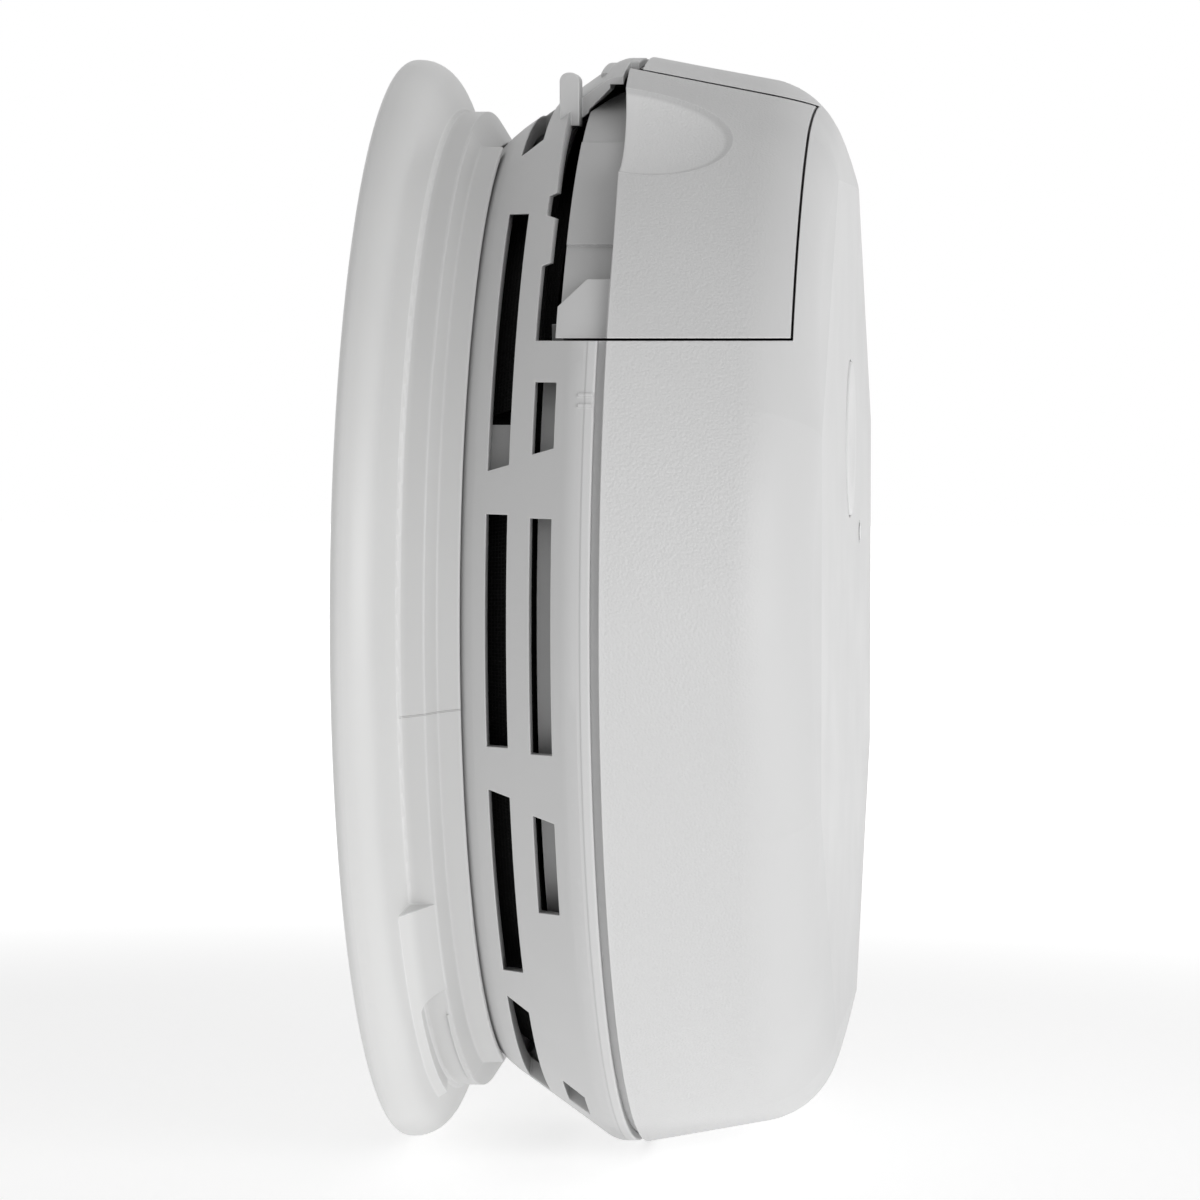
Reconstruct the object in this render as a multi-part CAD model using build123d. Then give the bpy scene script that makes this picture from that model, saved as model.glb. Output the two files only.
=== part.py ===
"""Smoke alarm with a battery drawer, on its twist-lock mounting bracket.

Everything is drawn lying on its back: x to the right, y up the wall and z (called h, the height
off the wall) along the alarm's axis. At the end each piece is stood up, so that the wall is the
XZ plane, +Z is up and the face looks along -Y. Angles round the axis are counted in degrees from
the -X side upwards.
"""

from build123d import *
from math import copysign, cos, hypot, pi, radians, sin, sqrt, tan
import os

# ---------------------------------------------------------------- driving dimensions (mm, degrees)
# Mounting bracket
FLANGE_R = 71.0
FLANGE_BACK_ROUND = 1.2
FLANGE_EDGE_H = 4.4
FLANGE_ROUND = 4.3
COLLAR_INSET = 6.8
COLLAR_FOOT_H = 7.2
COLLAR_EDGE_H = 10.5
COLLAR_STEP = 2.0
COLLAR_STEP_H = 11.75
COLLAR_TIP_STEP = 2.1
COLLAR_TIP_H = 14.5
COLLAR_TIP_WIDTH = 0.5
CUP_INSET = 4.9
BRACKET_WALL = 2.0
PLATE_THICK = 2.4
WIRE_OPENING_R = 26.0
SLOT_HALF_WIDTH = 2.4
SLOT_LENGTH = 13.0
WIDE_SPACING = 88.9
NARROW_SPACING = 69.85
BRACKET_RIBS = 12
RIB_THICK = 1.5
RELIEF_START = 71.5
RELIEF_H = 10.3
RELIEF_SLOPE = 0.64
WEB_END = -32.5
WEB_RUN = 2.6
GRIP_END = -48.5
GRIP_HEIGHT = 2.7

# Twist lock between the bracket and the alarm
LOCK_COUNT = 4
LOCK_ANGLE = 45.0
LOCK_TAB_WIDTH = 12.0
LOCK_TAB_DEPTH = 2.1
LOCK_TAB_LOW_H = 8.8
LOCK_TAB_HIGH_H = 10.6
LOCK_TURN = 12.0
LOCK_CLEARANCE = 0.3
TWIST_GAP = 0.5
SEAT_GAP = 0.3

# Base housing
DRUM_WALL = 3.6
REAR_PLATE = 2.0
CONE_START_STEP = 1.1
CONE_START_H = 16.0
CONE_SLOPE = 0.693
LIP_OVERHANG = 0.1
LIP_TOP_H = 31.2
LIP_THICK = 1.0
LIP_REBATE = 2.8
LIP_ROUND = 3.5
BASE_WALL = 2.0
LEDGE_H = 15.0
VENT_LOW_H = 17.8
VENT_HIGH_H = 20.6
UPPER_VENT_LOW_H = 23.6
UPPER_VENT_HIGH_H = 26.4
VENT_PITCH = 30.0
VENT_SPAN = 25.0
VENT_RAKE = 0.8
STRAIGHT_VENTS = 35.0
NOTCH_END_X = -21.5
NOTCH_FLOOR_DEPTH = 7.7
POST_START = 15.6
POST_END = 23.4
POST_HEIGHT = 7.4
FINGER_LENGTH = 6.7
FINGER_INSET = 3.0
FINGER_LOW_H = 22.3
FINGER_WIDTH = 2.5

# Front cover
GROOVE_GAP = 1.1
COVER_OVERHANG = 0.1
COVER_DRAFT = 10.8
COVER_WALL = 2.4
SHOULDER_ROUND = 11.0
CROWN_SLOPE = 0.18
CROWN_RUN = 11.9
FACE_SIDES = 8
TONGUE_GAP = 0.1
TONGUE_THICK = 1.2
SKIRT_INSET = 7.1
SKIRT_THICK = 1.3
SKIRT_DROP = 7.1

# Battery drawer
DRAWER_WIDTH = 34.3
DRAWER_INSET = 2.2
DRAWER_TOP_INSET = 3.8
DRAWER_END_X = -1.2
DRAWER_GAP = 0.3
DRAWER_TOP_LEAN = 4.6
PANEL_WALL = 2.2
DRAWER_POCKET = 5.0
PANEL_DROP = 1.6
SCOOP_ANGLE = 59.0
SCOOP_LENGTH = 13.2
SCOOP_HALF_WIDTH = 12.2
SCOOP_DEPTH = 2.6
SCOOP_SHARE = 0.5
TRAY_DROP = 5.2
TRAY_FLOOR = 1.4
TRAY_WALL = 1.4
TRAY_FRONT_INSET = 4.1
TRAY_CORNER_INSET = 2.5
TRAY_CORNER = 3.2
TRAY_STEP = 0.35
TRAY_STEP_START = 43.1
TRAY_STEP_END = 61.2
CHEEK_WIDTH = 7.1
CHEEK_INSET = 1.8
CHEEK_CHAMFER = 3.3
RAIL_THICK = 1.4
RAIL_LEDGE = 2.0
LOW_RAIL_LENGTH = 69.0
HIGH_RAIL_LENGTH = 39.6

# Battery
BATTERY_LENGTH = 46.0
BATTERY_WIDTH = 26.0
BATTERY_THICK = 17.5
BATTERY_ROUND = 2.0
BATTERY_INSET = 8.3
BATTERY_GAP = 0.2
BATTERY_HEADROOM = 4.0
TERMINAL_HEIGHT = 2.6
TERMINAL_PITCH = 12.7
STUD_R = 2.9
SOCKET_R = 4.3

# Electronics
BOARD_GAP = 1.2
BOARD_THICK = 1.6
BOARD_LOW_H = 13.4
BOSS_R = 3.6
SCREW_EDGE_INSET = 8.0
BOARD_SCREW_ANGLES = (15.0, 150.0, 262.0)
SCREW_R = 1.45
SCREW_HEAD_R = 2.8
SCREW_HEAD_H = 1.9
SCREW_LENGTH = 7.0
FIT_GAP = 0.1
SOCKET_WIDTH = 25.0
SOCKET_HEIGHT = 15.0
SOCKET_WALL = 1.3
PIN_THICK = 1.2
PIN_PITCH = 7.6
PIN_LENGTH = 8.3
CHAMBER_X = -14.0
CHAMBER_Y = -14.0
CHAMBER_R = 20.0
CHAMBER_FLOOR = 1.5
CHAMBER_TOP_H = 30.0
VANE_COUNT = 18
VANE_LENGTH = 5.6
VANE_THICK = 1.1
VANE_R = 16.6
VANE_TURN = 38.0
CAP_THICK = 1.6
DIODE_R = 2.5
DIODE_LENGTH = 8.0
DIODE_H = 23.5
LED_ANGLE = 200.0
PHOTODIODE_ANGLE = 320.0
SCREEN_SEAT = 1.0
SCREEN_THICK = 0.4
SCREEN_HEIGHT = 9.0

# Horn
HORN_X = 22.0
HORN_Y = -22.0
HORN_R = 15.0
HORN_WALL = 1.5
HORN_DEPTH = 14.0
HORN_LEDGE_DEPTH = 5.0
HORN_LEDGE = 1.6
DISC_THICK = 0.5
CERAMIC_R = 8.5

# Test button and indicator
BUTTON_X = 4.0
BUTTON_DRAWER_GAP = 13.4
BUTTON_R = 10.2
BUTTON_PROUD = 0.25
BUTTON_FLANGE = 1.2
BUTTON_FLANGE_THICK = 1.3
BUTTON_GAP = 0.25
BUTTON_TRAVEL = 1.2
STEM_R = 2.5
SWITCH_SIZE = 6.2
SWITCH_HEIGHT = 3.6
PLUNGER_R = 1.7
PLUNGER_HEIGHT = 2.6
PLUNGER_PROUD = 1.4
CAGE_WALL = 1.2
CAGE_DEPTH = 12.5
SPRING_R = 4.6
SPRING_WIRE_R = 0.35
SPRING_TURNS = 5
PIPE_R = 1.5
PIPE_X = 26.0
PIPE_Y = 8.0
LED_BODY_R = 1.5
LED_HEIGHT = 3.0

# ------------------------------------------------------------------------- sizes that follow
COLLAR_R = FLANGE_R - COLLAR_INSET
CUP_R = COLLAR_R - CUP_INSET
DRUM_R = CUP_R - TWIST_GAP
DRUM_BACK_H = PLATE_THICK + SEAT_GAP
REAR_PLATE_H = DRUM_BACK_H + REAR_PLATE
DRUM_INNER_R = DRUM_R - DRUM_WALL
SHOULDER_EDGE_R = COLLAR_R - COLLAR_TIP_STEP - COLLAR_TIP_WIDTH - SEAT_GAP
SHOULDER_EDGE_H = COLLAR_TIP_H + SEAT_GAP / 2
SHOULDER_H = SHOULDER_EDGE_H - (SHOULDER_EDGE_R - DRUM_R)
CONE_START_R = SHOULDER_EDGE_R + CONE_START_STEP
LIP_R = FLANGE_R + LIP_OVERHANG
COVER_EDGE_R = LIP_R + COVER_OVERHANG
COVER_EDGE_H = LIP_TOP_H + GROOVE_GAP
TRAY_LOW_H = LIP_TOP_H - TRAY_DROP
TRAY_FRONT_R = LIP_R - TRAY_FRONT_INSET
BATTERY_LOW_H = TRAY_LOW_H + TRAY_FLOOR + BATTERY_GAP
BATTERY_HIGH_H = BATTERY_LOW_H + BATTERY_WIDTH
FACE_H = BATTERY_HIGH_H + BATTERY_HEADROOM
FACE_INNER_H = FACE_H - COVER_WALL
DRAWER_TOP_H = FACE_H - DRAWER_TOP_INSET
DRAWER_HIGH_Y = LIP_R - DRAWER_INSET
DRAWER_LOW_Y = DRAWER_HIGH_Y - DRAWER_WIDTH
TRAY_FRONT_HIGH_Y = DRAWER_HIGH_Y - TRAY_CORNER_INSET
BUTTON_Y = DRAWER_LOW_Y - BUTTON_DRAWER_GAP
BOARD_R = DRUM_INNER_R - BOARD_GAP
BOARD_HIGH_H = BOARD_LOW_H + BOARD_THICK
BOARD_SCREW_CIRCLE_R = BOARD_R - SCREW_EDGE_INSET
SCREEN_R = DRUM_INNER_R + SCREEN_SEAT + SCREEN_THICK
FAR = 1.3 * FLANGE_R


# ------------------------------------------------------------------------------------ helpers
def section(points, radii):
    """Face in the radius-height plane, from its corners and the rounding of each."""
    outline = FilletPolyline(*points, radius=radii, close=True)
    return Plane.XZ * make_face(outline.edges())


def turned(points, radii=0.0):
    """Full turn of a section about the alarm's axis."""
    return revolve(section(points, radii), Axis.Z, 360)


def wedge(inner_r, outer_r, low_h, high_h, start, end):
    """Part turn of a rectangular section between two angles counted from the -X side."""
    corners = [(inner_r, low_h), (outer_r, low_h), (outer_r, high_h), (inner_r, high_h)]
    return Rot(0, 0, 180 - end) * revolve(section(corners, 0.0), Axis.Z, end - start)


def tube(inner_r, outer_r, low_h, high_h):
    """Ring about the alarm's axis."""
    return turned([(inner_r, low_h), (outer_r, low_h), (outer_r, high_h), (inner_r, high_h)])


def block(x_span, y_span, h_span):
    """Box between two limits each way."""
    centre = [(low + high) / 2 for low, high in (x_span, y_span, h_span)]
    size = [high - low for low, high in (x_span, y_span, h_span)]
    return Pos(*centre) * Box(*size)


def rod(radius, low_h, high_h, x=0.0, y=0.0):
    """Cylinder along the alarm's axis."""
    return Pos(x, y, (low_h + high_h) / 2) * Cylinder(radius, high_h - low_h)


def at_angle(angle):
    """Turn that takes the +X direction to an angle counted from the -X side upwards."""
    return Rot(0, 0, 180 - angle)


def at_button():
    """Move from the alarm's axis to the test button's."""
    return Pos(BUTTON_X, BUTTON_Y, 0)


def side_prism(points, low_x, high_x):
    """Prism along x from corners given as (height off the wall, y)."""
    corners = [Vector(low_x, y, h) for h, y in points]
    face = make_face(Polyline(*corners, close=True).edges())
    return extrude(face, high_x - low_x, dir=(1, 0, 0))


# --------------------------------------------------------------------------- mounting bracket
def collar_web():
    """Sloping web that fills the collar's foot over part of the turn, up to the thumb grip."""
    foot_drop = WEB_RUN * (COLLAR_FOOT_H - FLANGE_EDGE_H) / COLLAR_INSET
    corners = [
        (COLLAR_R - BRACKET_WALL, COLLAR_FOOT_H - BRACKET_WALL),
        (COLLAR_R + WEB_RUN, COLLAR_FOOT_H - BRACKET_WALL),
        (COLLAR_R + WEB_RUN, COLLAR_FOOT_H - foot_drop),
        (COLLAR_R - 0.1, COLLAR_EDGE_H),
        (COLLAR_R - BRACKET_WALL, COLLAR_EDGE_H),
    ]
    web = Rot(0, 0, 180 - WEB_END) * revolve(section(corners, 0.0), Axis.Z, WEB_END + RELIEF_START)
    grip = wedge(COLLAR_R, FAR, COLLAR_FOOT_H, COLLAR_FOOT_H + GRIP_HEIGHT, -RELIEF_START, GRIP_END)
    nail = Pos(FAR / 2 + COLLAR_R / 2, 0, COLLAR_FOOT_H + GRIP_HEIGHT) * Rot(0, 90, 0)
    nail = nail * Cylinder(GRIP_HEIGHT, FAR - COLLAR_R)
    return web - grip - at_angle(GRIP_END) * nail


def collar_relief():
    """Cutter that lowers the collar's edge over the bottom of the turn, down to a slope."""
    run = COLLAR_R - CUP_R
    corners = [
        (CUP_R - 1.0, RELIEF_H + (run + 1.0) * RELIEF_SLOPE),
        (COLLAR_R, RELIEF_H),
        (FLANGE_R, RELIEF_H),
        (FLANGE_R, FAR),
        (CUP_R - 1.0, FAR),
    ]
    span = 180 - 2 * RELIEF_START
    return Rot(0, 0, 180 + RELIEF_START) * revolve(section(corners, 0.0), Axis.Z, span)


def mounting_bracket():
    """Flanged ring that screws to the wall and holds the alarm by four inward tabs."""
    seat_r = COLLAR_R - COLLAR_TIP_STEP - COLLAR_TIP_WIDTH
    corners = [
        (WIRE_OPENING_R, 0.0, 0.0),
        (FLANGE_R, 0.0, FLANGE_BACK_ROUND),
        (FLANGE_R, FLANGE_EDGE_H, FLANGE_ROUND),
        (COLLAR_R, COLLAR_FOOT_H, 0.6),
        (COLLAR_R, COLLAR_EDGE_H, 0.3),
        (COLLAR_R - COLLAR_STEP, COLLAR_STEP_H, 0.3),
        (COLLAR_R - COLLAR_TIP_STEP, COLLAR_TIP_H, 0.2),
        (seat_r, COLLAR_TIP_H, 0.1),
        (CUP_R, COLLAR_TIP_H - (seat_r - CUP_R), 0.0),
        (CUP_R, PLATE_THICK, 0.0),
        (WIRE_OPENING_R, PLATE_THICK, 0.0),
    ]
    ring = turned([(r, h) for r, h, _ in corners], [rounding for _, _, rounding in corners])

    channel_inner_r = CUP_R + BRACKET_WALL
    channel = turned(
        [
            (channel_inner_r, 0.0),
            (FLANGE_R - BRACKET_WALL, 0.0),
            (FLANGE_R - BRACKET_WALL, FLANGE_EDGE_H - BRACKET_WALL),
            (COLLAR_R - BRACKET_WALL / 2, COLLAR_FOOT_H - BRACKET_WALL),
            (channel_inner_r, COLLAR_FOOT_H - BRACKET_WALL),
        ]
    )
    rib = block((channel_inner_r - 1, FLANGE_R - 1), (-RIB_THICK / 2, RIB_THICK / 2), (0, COLLAR_FOOT_H))
    for number in range(BRACKET_RIBS):
        channel -= at_angle((number + 0.5) * 360 / BRACKET_RIBS) * rib
    ring -= channel

    slot = SlotOverall(SLOT_LENGTH, 2 * SLOT_HALF_WIDTH)
    for side in (-1, 1):
        ring -= extrude(Pos(side * WIDE_SPACING / 2, 0, 0) * slot, PLATE_THICK)
        ring -= extrude(Pos(0, side * NARROW_SPACING / 2, 0) * Rot(0, 0, 90) * slot, PLATE_THICK)

    for side in (0, 180):
        ring += Rot(0, 0, side) * collar_web()
        ring -= Rot(0, 0, side) * collar_relief()

    for number in range(LOCK_COUNT):
        middle = LOCK_ANGLE + number * 360 / LOCK_COUNT
        ring += wedge(
            CUP_R - LOCK_TAB_DEPTH,
            CUP_R + BRACKET_WALL / 2,
            LOCK_TAB_LOW_H,
            LOCK_TAB_HIGH_H,
            middle - LOCK_TAB_WIDTH / 2,
            middle + LOCK_TAB_WIDTH / 2,
        )
    return ring


# ------------------------------------------------------------------------------- base housing
def cone_r(height):
    """Outer radius of the vented cone at a height off the wall."""
    return CONE_START_R + CONE_SLOPE * (height - CONE_START_H)


def base_outline():
    """Solid of the base's outer form."""
    lip_corner_h = CONE_START_H + (LIP_R - CONE_START_R) / CONE_SLOPE
    corners = [
        (0.0, DRUM_BACK_H, 0.0),
        (DRUM_R, DRUM_BACK_H, 1.0),
        (DRUM_R, SHOULDER_H, 0.3),
        (SHOULDER_EDGE_R, SHOULDER_EDGE_H, 0.3),
        (CONE_START_R, CONE_START_H, 0.8),
        (LIP_R, lip_corner_h, LIP_ROUND),
        (LIP_R, LIP_TOP_H, 0.2),
        (0.0, LIP_TOP_H, 0.0),
    ]
    return turned([(r, h) for r, h, _ in corners], [rounding for _, _, rounding in corners])


def base_hollow():
    """Space inside the base, with the ledge for the screen and the rebate for the cover's tongue."""
    rebate_h = LIP_TOP_H - LIP_REBATE
    wall_r = BASE_WALL * hypot(1, CONE_SLOPE)
    return turned(
        [
            (0.0, REAR_PLATE_H),
            (DRUM_INNER_R, REAR_PLATE_H),
            (DRUM_INNER_R, LEDGE_H),
            (cone_r(LEDGE_H + 1.0) - wall_r, LEDGE_H),
            (cone_r(LEDGE_H + 1.0) - wall_r, LEDGE_H + 1.0),
            (cone_r(rebate_h) - wall_r, rebate_h),
            (LIP_R - LIP_THICK, rebate_h),
            (LIP_R - LIP_THICK, LIP_TOP_H),
            (0.0, LIP_TOP_H),
        ]
    )


def vent(start, end, low_h, high_h):
    """Cutter for one vent slot, straight along X in the sides that face it, with one raked end."""
    inner_r = cone_r(low_h) - 8
    middle = radians((start + end) / 2)
    rake = 0.0 if start < 0 < end else VENT_RAKE
    near, far = (start, end) if start > 0 else (end, start)
    if abs(sin(middle)) < sin(radians(STRAIGHT_VENTS)):
        mid_r = cone_r((low_h + high_h) / 2)
        near_y = mid_r * sin(radians(near))
        far_y = mid_r * sin(radians(far))
        raked_y = near_y + copysign(rake, far_y - near_y)
        x_span = sorted((-cos(middle) * FAR, -cos(middle) * inner_r / 2))
        slot = side_prism([(low_h, near_y), (high_h, raked_y), (high_h, far_y), (low_h, far_y)], *x_span)
        return slot - rod(inner_r, low_h - 1, high_h + 1)
    cutter = wedge(inner_r, FAR, low_h, high_h, start, end)
    side = copysign(rake, near - far)
    return cutter - at_angle(near) * side_prism([(low_h, 0.0), (high_h, 0.0), (high_h, side)], 0.0, FAR)


def base_vents():
    """Cutters of both rows of vents: (start, end) angles of each slot."""
    lower_row = [(16.8, 50.5), (64.5, 89.0), (-12.9, 12.1)]
    for number in range(1, 9):
        middle = -number * VENT_PITCH
        lower_row.append((middle - VENT_SPAN / 2 + 0.3, middle + VENT_SPAN / 2 - 0.3))
    upper_row = [(17.6, 25.3), (-12.6, 11.1), (-30.6, -19.2), (-68.0, -61.0)]
    upper_row += [(-180 - end, -180 - start) for start, end in upper_row]
    cutters = [vent(start, end, VENT_LOW_H, VENT_HIGH_H) for start, end in lower_row]
    cutters += [vent(start, end, UPPER_VENT_LOW_H, UPPER_VENT_HIGH_H) for start, end in upper_row]
    return cutters


def drawer_notch():
    """Cutter for the notch that the drawer's tray slides through, with its stepped floor."""
    low_y = DRAWER_LOW_Y - DRAWER_GAP
    floor_h = LIP_TOP_H - NOTCH_FLOOR_DEPTH
    floor = [
        (FAR, low_y),
        (floor_h - 0.2, low_y),
        (floor_h - 0.2, low_y + 9.0),
        (floor_h + 0.9, low_y + 9.4),
        (floor_h + 0.9, low_y + 14.9),
        (floor_h - 0.3, low_y + 15.3),
        (floor_h - 0.3, low_y + 17.7),
        (floor_h + 0.7, low_y + 18.1),
        (floor_h, low_y + 31.7),
        (floor_h, FAR),
        (FAR, FAR),
    ]
    low_lip_h = COVER_EDGE_H - PANEL_DROP - 2 * DRAWER_GAP
    panel_end_x = -sqrt((LIP_R - LIP_THICK) ** 2 - DRAWER_HIGH_Y**2)
    lowered_lip = block((-FAR, panel_end_x + 3 * DRAWER_GAP), (low_y + 2, FAR), (low_lip_h, FAR))
    tray_way = side_prism(tray_corner(DRAWER_GAP), -FAR, -TRAY_CORNER)
    return side_prism(floor, -FAR, NOTCH_END_X) + lowered_lip + tray_way


def twist_grooves():
    """Cutters of the L-shaped grooves that take the bracket's tabs."""
    half = LOCK_TAB_WIDTH / 2
    floor_r = CUP_R - LOCK_TAB_DEPTH - LOCK_CLEARANCE
    cutters = []
    for number in range(LOCK_COUNT):
        middle = LOCK_ANGLE + number * 360 / LOCK_COUNT
        low_h = LOCK_TAB_LOW_H - LOCK_CLEARANCE
        high_h = LOCK_TAB_HIGH_H + LOCK_CLEARANCE
        run_end = middle + LOCK_TURN + half + 0.6
        cutters.append(wedge(floor_r, FAR, low_h, high_h, middle - half - 0.6, run_end))
        cutters.append(wedge(floor_r, FAR, 0.0, high_h, run_end - LOCK_TAB_WIDTH - 1.2, run_end))
    return cutters


def base_housing():
    """Rear moulding: drum in the bracket's cup, vented cone, lip, drawer notch and board bosses."""
    shell = base_outline() - base_hollow()
    for cutter in base_vents():
        shell -= cutter
    shell -= drawer_notch()
    for cutter in twist_grooves():
        shell -= cutter & tube(0.1, DRUM_R + 1, 0, SHOULDER_H - 0.6)

    half_x = SOCKET_WIDTH / 2 + FIT_GAP
    half_y = SOCKET_HEIGHT / 2 + FIT_GAP
    shell -= block((-half_x, half_x), (-half_y, half_y), (0, REAR_PLATE_H + 1))

    for angle in BOARD_SCREW_ANGLES:
        boss = rod(BOSS_R, REAR_PLATE_H - 0.5, BOARD_LOW_H, BOARD_SCREW_CIRCLE_R)
        boss -= rod(SCREW_R + FIT_GAP / 2, REAR_PLATE_H + 0.5, BOARD_LOW_H, BOARD_SCREW_CIRCLE_R)
        shell += at_angle(angle) * boss

    post_outer_r = cone_r(LEDGE_H) - BASE_WALL / 2
    shell += wedge(SCREEN_R + 0.8, post_outer_r, LEDGE_H - 0.4, LEDGE_H + POST_HEIGHT, POST_START, POST_END)

    finger_x = (NOTCH_END_X - 3.0, NOTCH_END_X + 0.5)
    finger_y = (LIP_R - FINGER_INSET - FINGER_LENGTH, LIP_R - FINGER_INSET)
    finger = block(finger_x, finger_y, (FINGER_LOW_H, FINGER_LOW_H + FINGER_WIDTH))
    shell += fillet(finger.edges().filter_by(Axis.X).group_by(Axis.Y)[-1], FINGER_WIDTH * 0.45)
    pad_h = FINGER_LOW_H + FINGER_WIDTH + 2.0
    shell += wedge(cone_r(pad_h) - 1.2, LIP_R - 0.6, pad_h, LIP_TOP_H - LIP_REBATE, 76.0, 91.0)

    for angle in (22.0, 23.1):
        rib = block((LIP_R - 0.6, LIP_R + 0.15), (-0.22, 0.22), (LIP_TOP_H - 2.0, LIP_TOP_H - 0.2))
        shell += at_angle(angle) * rib
    return shell


# -------------------------------------------------------------------------------- front cover
def cover_side_r(height):
    """Outer radius of the cover's drafted side at a height off the wall."""
    return COVER_EDGE_R - (height - COVER_EDGE_H) * tan(radians(COVER_DRAFT))


def face_apothem():
    """Half the width of the flat face across its flats."""
    return cover_side_r(FACE_H) - CROWN_RUN


def face_outline(height):
    """Octagon of the eight sloping crown facets at a height off the wall."""
    apothem = face_apothem() + (FACE_H - height) / CROWN_SLOPE
    octagon = Rot(0, 0, 180 / FACE_SIDES) * RegularPolygon(apothem / cos(pi / FACE_SIDES), FACE_SIDES)
    return (Pos(0, 0, height) * octagon).face()


def cover_form():
    """Solid of the cover's outer form: drafted side, round shoulder, eight facets, flat face."""
    low_h = COVER_EDGE_H - 2 * PANEL_DROP
    low_r, high_r = cover_side_r(low_h), cover_side_r(FACE_H)
    form = turned([(0.0, low_h), (low_r, low_h), (high_r, FACE_H), (0.0, FACE_H)])
    crown_low_h = FACE_H - 5.0
    crown = loft([face_outline(crown_low_h), face_outline(FACE_H)], ruled=True)
    form -= rod(FAR, crown_low_h, FACE_H) - crown
    rim_r = (face_apothem() / cos(pi / FACE_SIDES) + cover_side_r(FACE_H)) / 2
    rim = [
        edge
        for edge in form.edges()
        if min((edge @ 0).Z, (edge @ 1).Z) > crown_low_h - 15
        and min(hypot((edge @ end).X, (edge @ end).Y) for end in (0, 1)) > rim_r
    ]
    return fillet(rim, SHOULDER_ROUND)


def cover_inside(inset, low_h):
    """Space inside the cover's form: drafted side with a round top, under the flat of the face."""
    shift = inset / cos(radians(COVER_DRAFT))
    top_h = FACE_H - COVER_WALL
    corners = [
        (0.0, low_h, 0.0),
        (cover_side_r(low_h) - shift, low_h, 0.0),
        (cover_side_r(top_h) - shift, top_h, SHOULDER_ROUND),
        (0.0, top_h, 0.0),
    ]
    return turned([(r, h) for r, h, _ in corners], [rounding for _, _, rounding in corners])


def drawer_outline(gap):
    """Prism that the drawer's panel is cut with, widened by a gap, and by half of it at the top."""
    low_y = DRAWER_LOW_Y - gap
    high_y = DRAWER_HIGH_Y + gap / 2
    top_h = DRAWER_TOP_H + gap
    with BuildSketch(Plane.YZ.offset(-FAR)) as sketch:
        with BuildLine():
            drop_y = DRAWER_LOW_Y + CHEEK_WIDTH + DRAWER_GAP
            Line((drop_y, COVER_EDGE_H), (low_y, COVER_EDGE_H))
            Line((low_y, COVER_EDGE_H), (low_y, top_h))
            Line((low_y, top_h), (high_y - DRAWER_TOP_LEAN, top_h))
            Line((high_y - DRAWER_TOP_LEAN, top_h), (high_y, COVER_EDGE_H - PANEL_DROP))
            ThreePointArc(
                (high_y, COVER_EDGE_H - PANEL_DROP),
                (drop_y + DRAWER_WIDTH * 0.47, COVER_EDGE_H - PANEL_DROP * 0.36),
                (drop_y, COVER_EDGE_H),
            )
        make_face()
    return extrude(sketch.sketch, FAR + DRAWER_END_X + gap, dir=(1, 0, 0))


def tray_rail(side_y, outward, length):
    """L-shaped runner hanging from the face beside the tray, with a ledge under the tray's floor."""
    wall_y = sorted((side_y, side_y + outward * RAIL_THICK))
    ledge_y = sorted((side_y, side_y - outward * RAIL_LEDGE))
    x_span = (tray_end_x() - length, tray_end_x())
    ledge_high_h = TRAY_LOW_H - DRAWER_GAP
    runner = block(x_span, wall_y, (ledge_high_h - RAIL_THICK, FACE_INNER_H))
    return runner + block(x_span, ledge_y, (ledge_high_h - RAIL_THICK, ledge_high_h))


def front_cover(form):
    """Front moulding: domed cover with its flat face, tongue, inner skirt and drawer runners."""
    shell = form - cover_inside(COVER_WALL, 0.0) - rod(FAR, 0, COVER_EDGE_H)

    tongue_r = LIP_R - LIP_THICK - TONGUE_GAP
    tongue_low_h = LIP_TOP_H - LIP_REBATE + TONGUE_GAP
    shell += tube(tongue_r - TONGUE_THICK, tongue_r, tongue_low_h, COVER_EDGE_H + 1.0)
    skirt_r = LIP_R - SKIRT_INSET
    skirt = tube(skirt_r - SKIRT_THICK, skirt_r, LIP_TOP_H - SKIRT_DROP, FACE_H)
    shell += skirt & cover_inside(COVER_WALL / 2, 0.0)

    tray_low_y = DRAWER_LOW_Y - DRAWER_GAP
    tray_high_y = tray_upper_y() + DRAWER_GAP
    shell -= drawer_outline(DRAWER_GAP) - cover_inside(DRAWER_POCKET, 0.0)
    shell -= block((-FAR, DRAWER_END_X), (tray_low_y, DRAWER_HIGH_Y + DRAWER_GAP), (0, COVER_EDGE_H))
    shell -= block((-FAR, -20), (tray_low_y, tray_high_y), (0, DRAWER_TOP_H + DRAWER_GAP))

    shell += tray_rail(tray_low_y, -1, LOW_RAIL_LENGTH)
    shell += tray_rail(tray_high_y, 1, HIGH_RAIL_LENGTH)

    cage_r = BUTTON_R + BUTTON_FLANGE + BUTTON_GAP
    cage_low_h = FACE_INNER_H - CAGE_DEPTH
    cage = tube(cage_r, cage_r + CAGE_WALL, cage_low_h, FACE_INNER_H)
    cage += tube(STEM_R + BUTTON_GAP, cage_r + CAGE_WALL, cage_low_h, cage_low_h + CAGE_WALL)
    shell += at_button() * cage
    shell -= at_button() * rod(BUTTON_R + BUTTON_GAP, FACE_INNER_H - 1, FAR)
    shell += rod(PIPE_R + FIT_GAP + 1.2, FACE_INNER_H - 9, FACE_INNER_H, PIPE_X, PIPE_Y)
    shell -= rod(PIPE_R + FIT_GAP, 0, FAR, PIPE_X, PIPE_Y)
    return shell


# ----------------------------------------------------------------------------- battery drawer
def tray_upper_y():
    """Outer face of the tray's upper side wall."""
    return DRAWER_LOW_Y + 2 * TRAY_WALL + BATTERY_THICK + 2 * BATTERY_GAP


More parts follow.
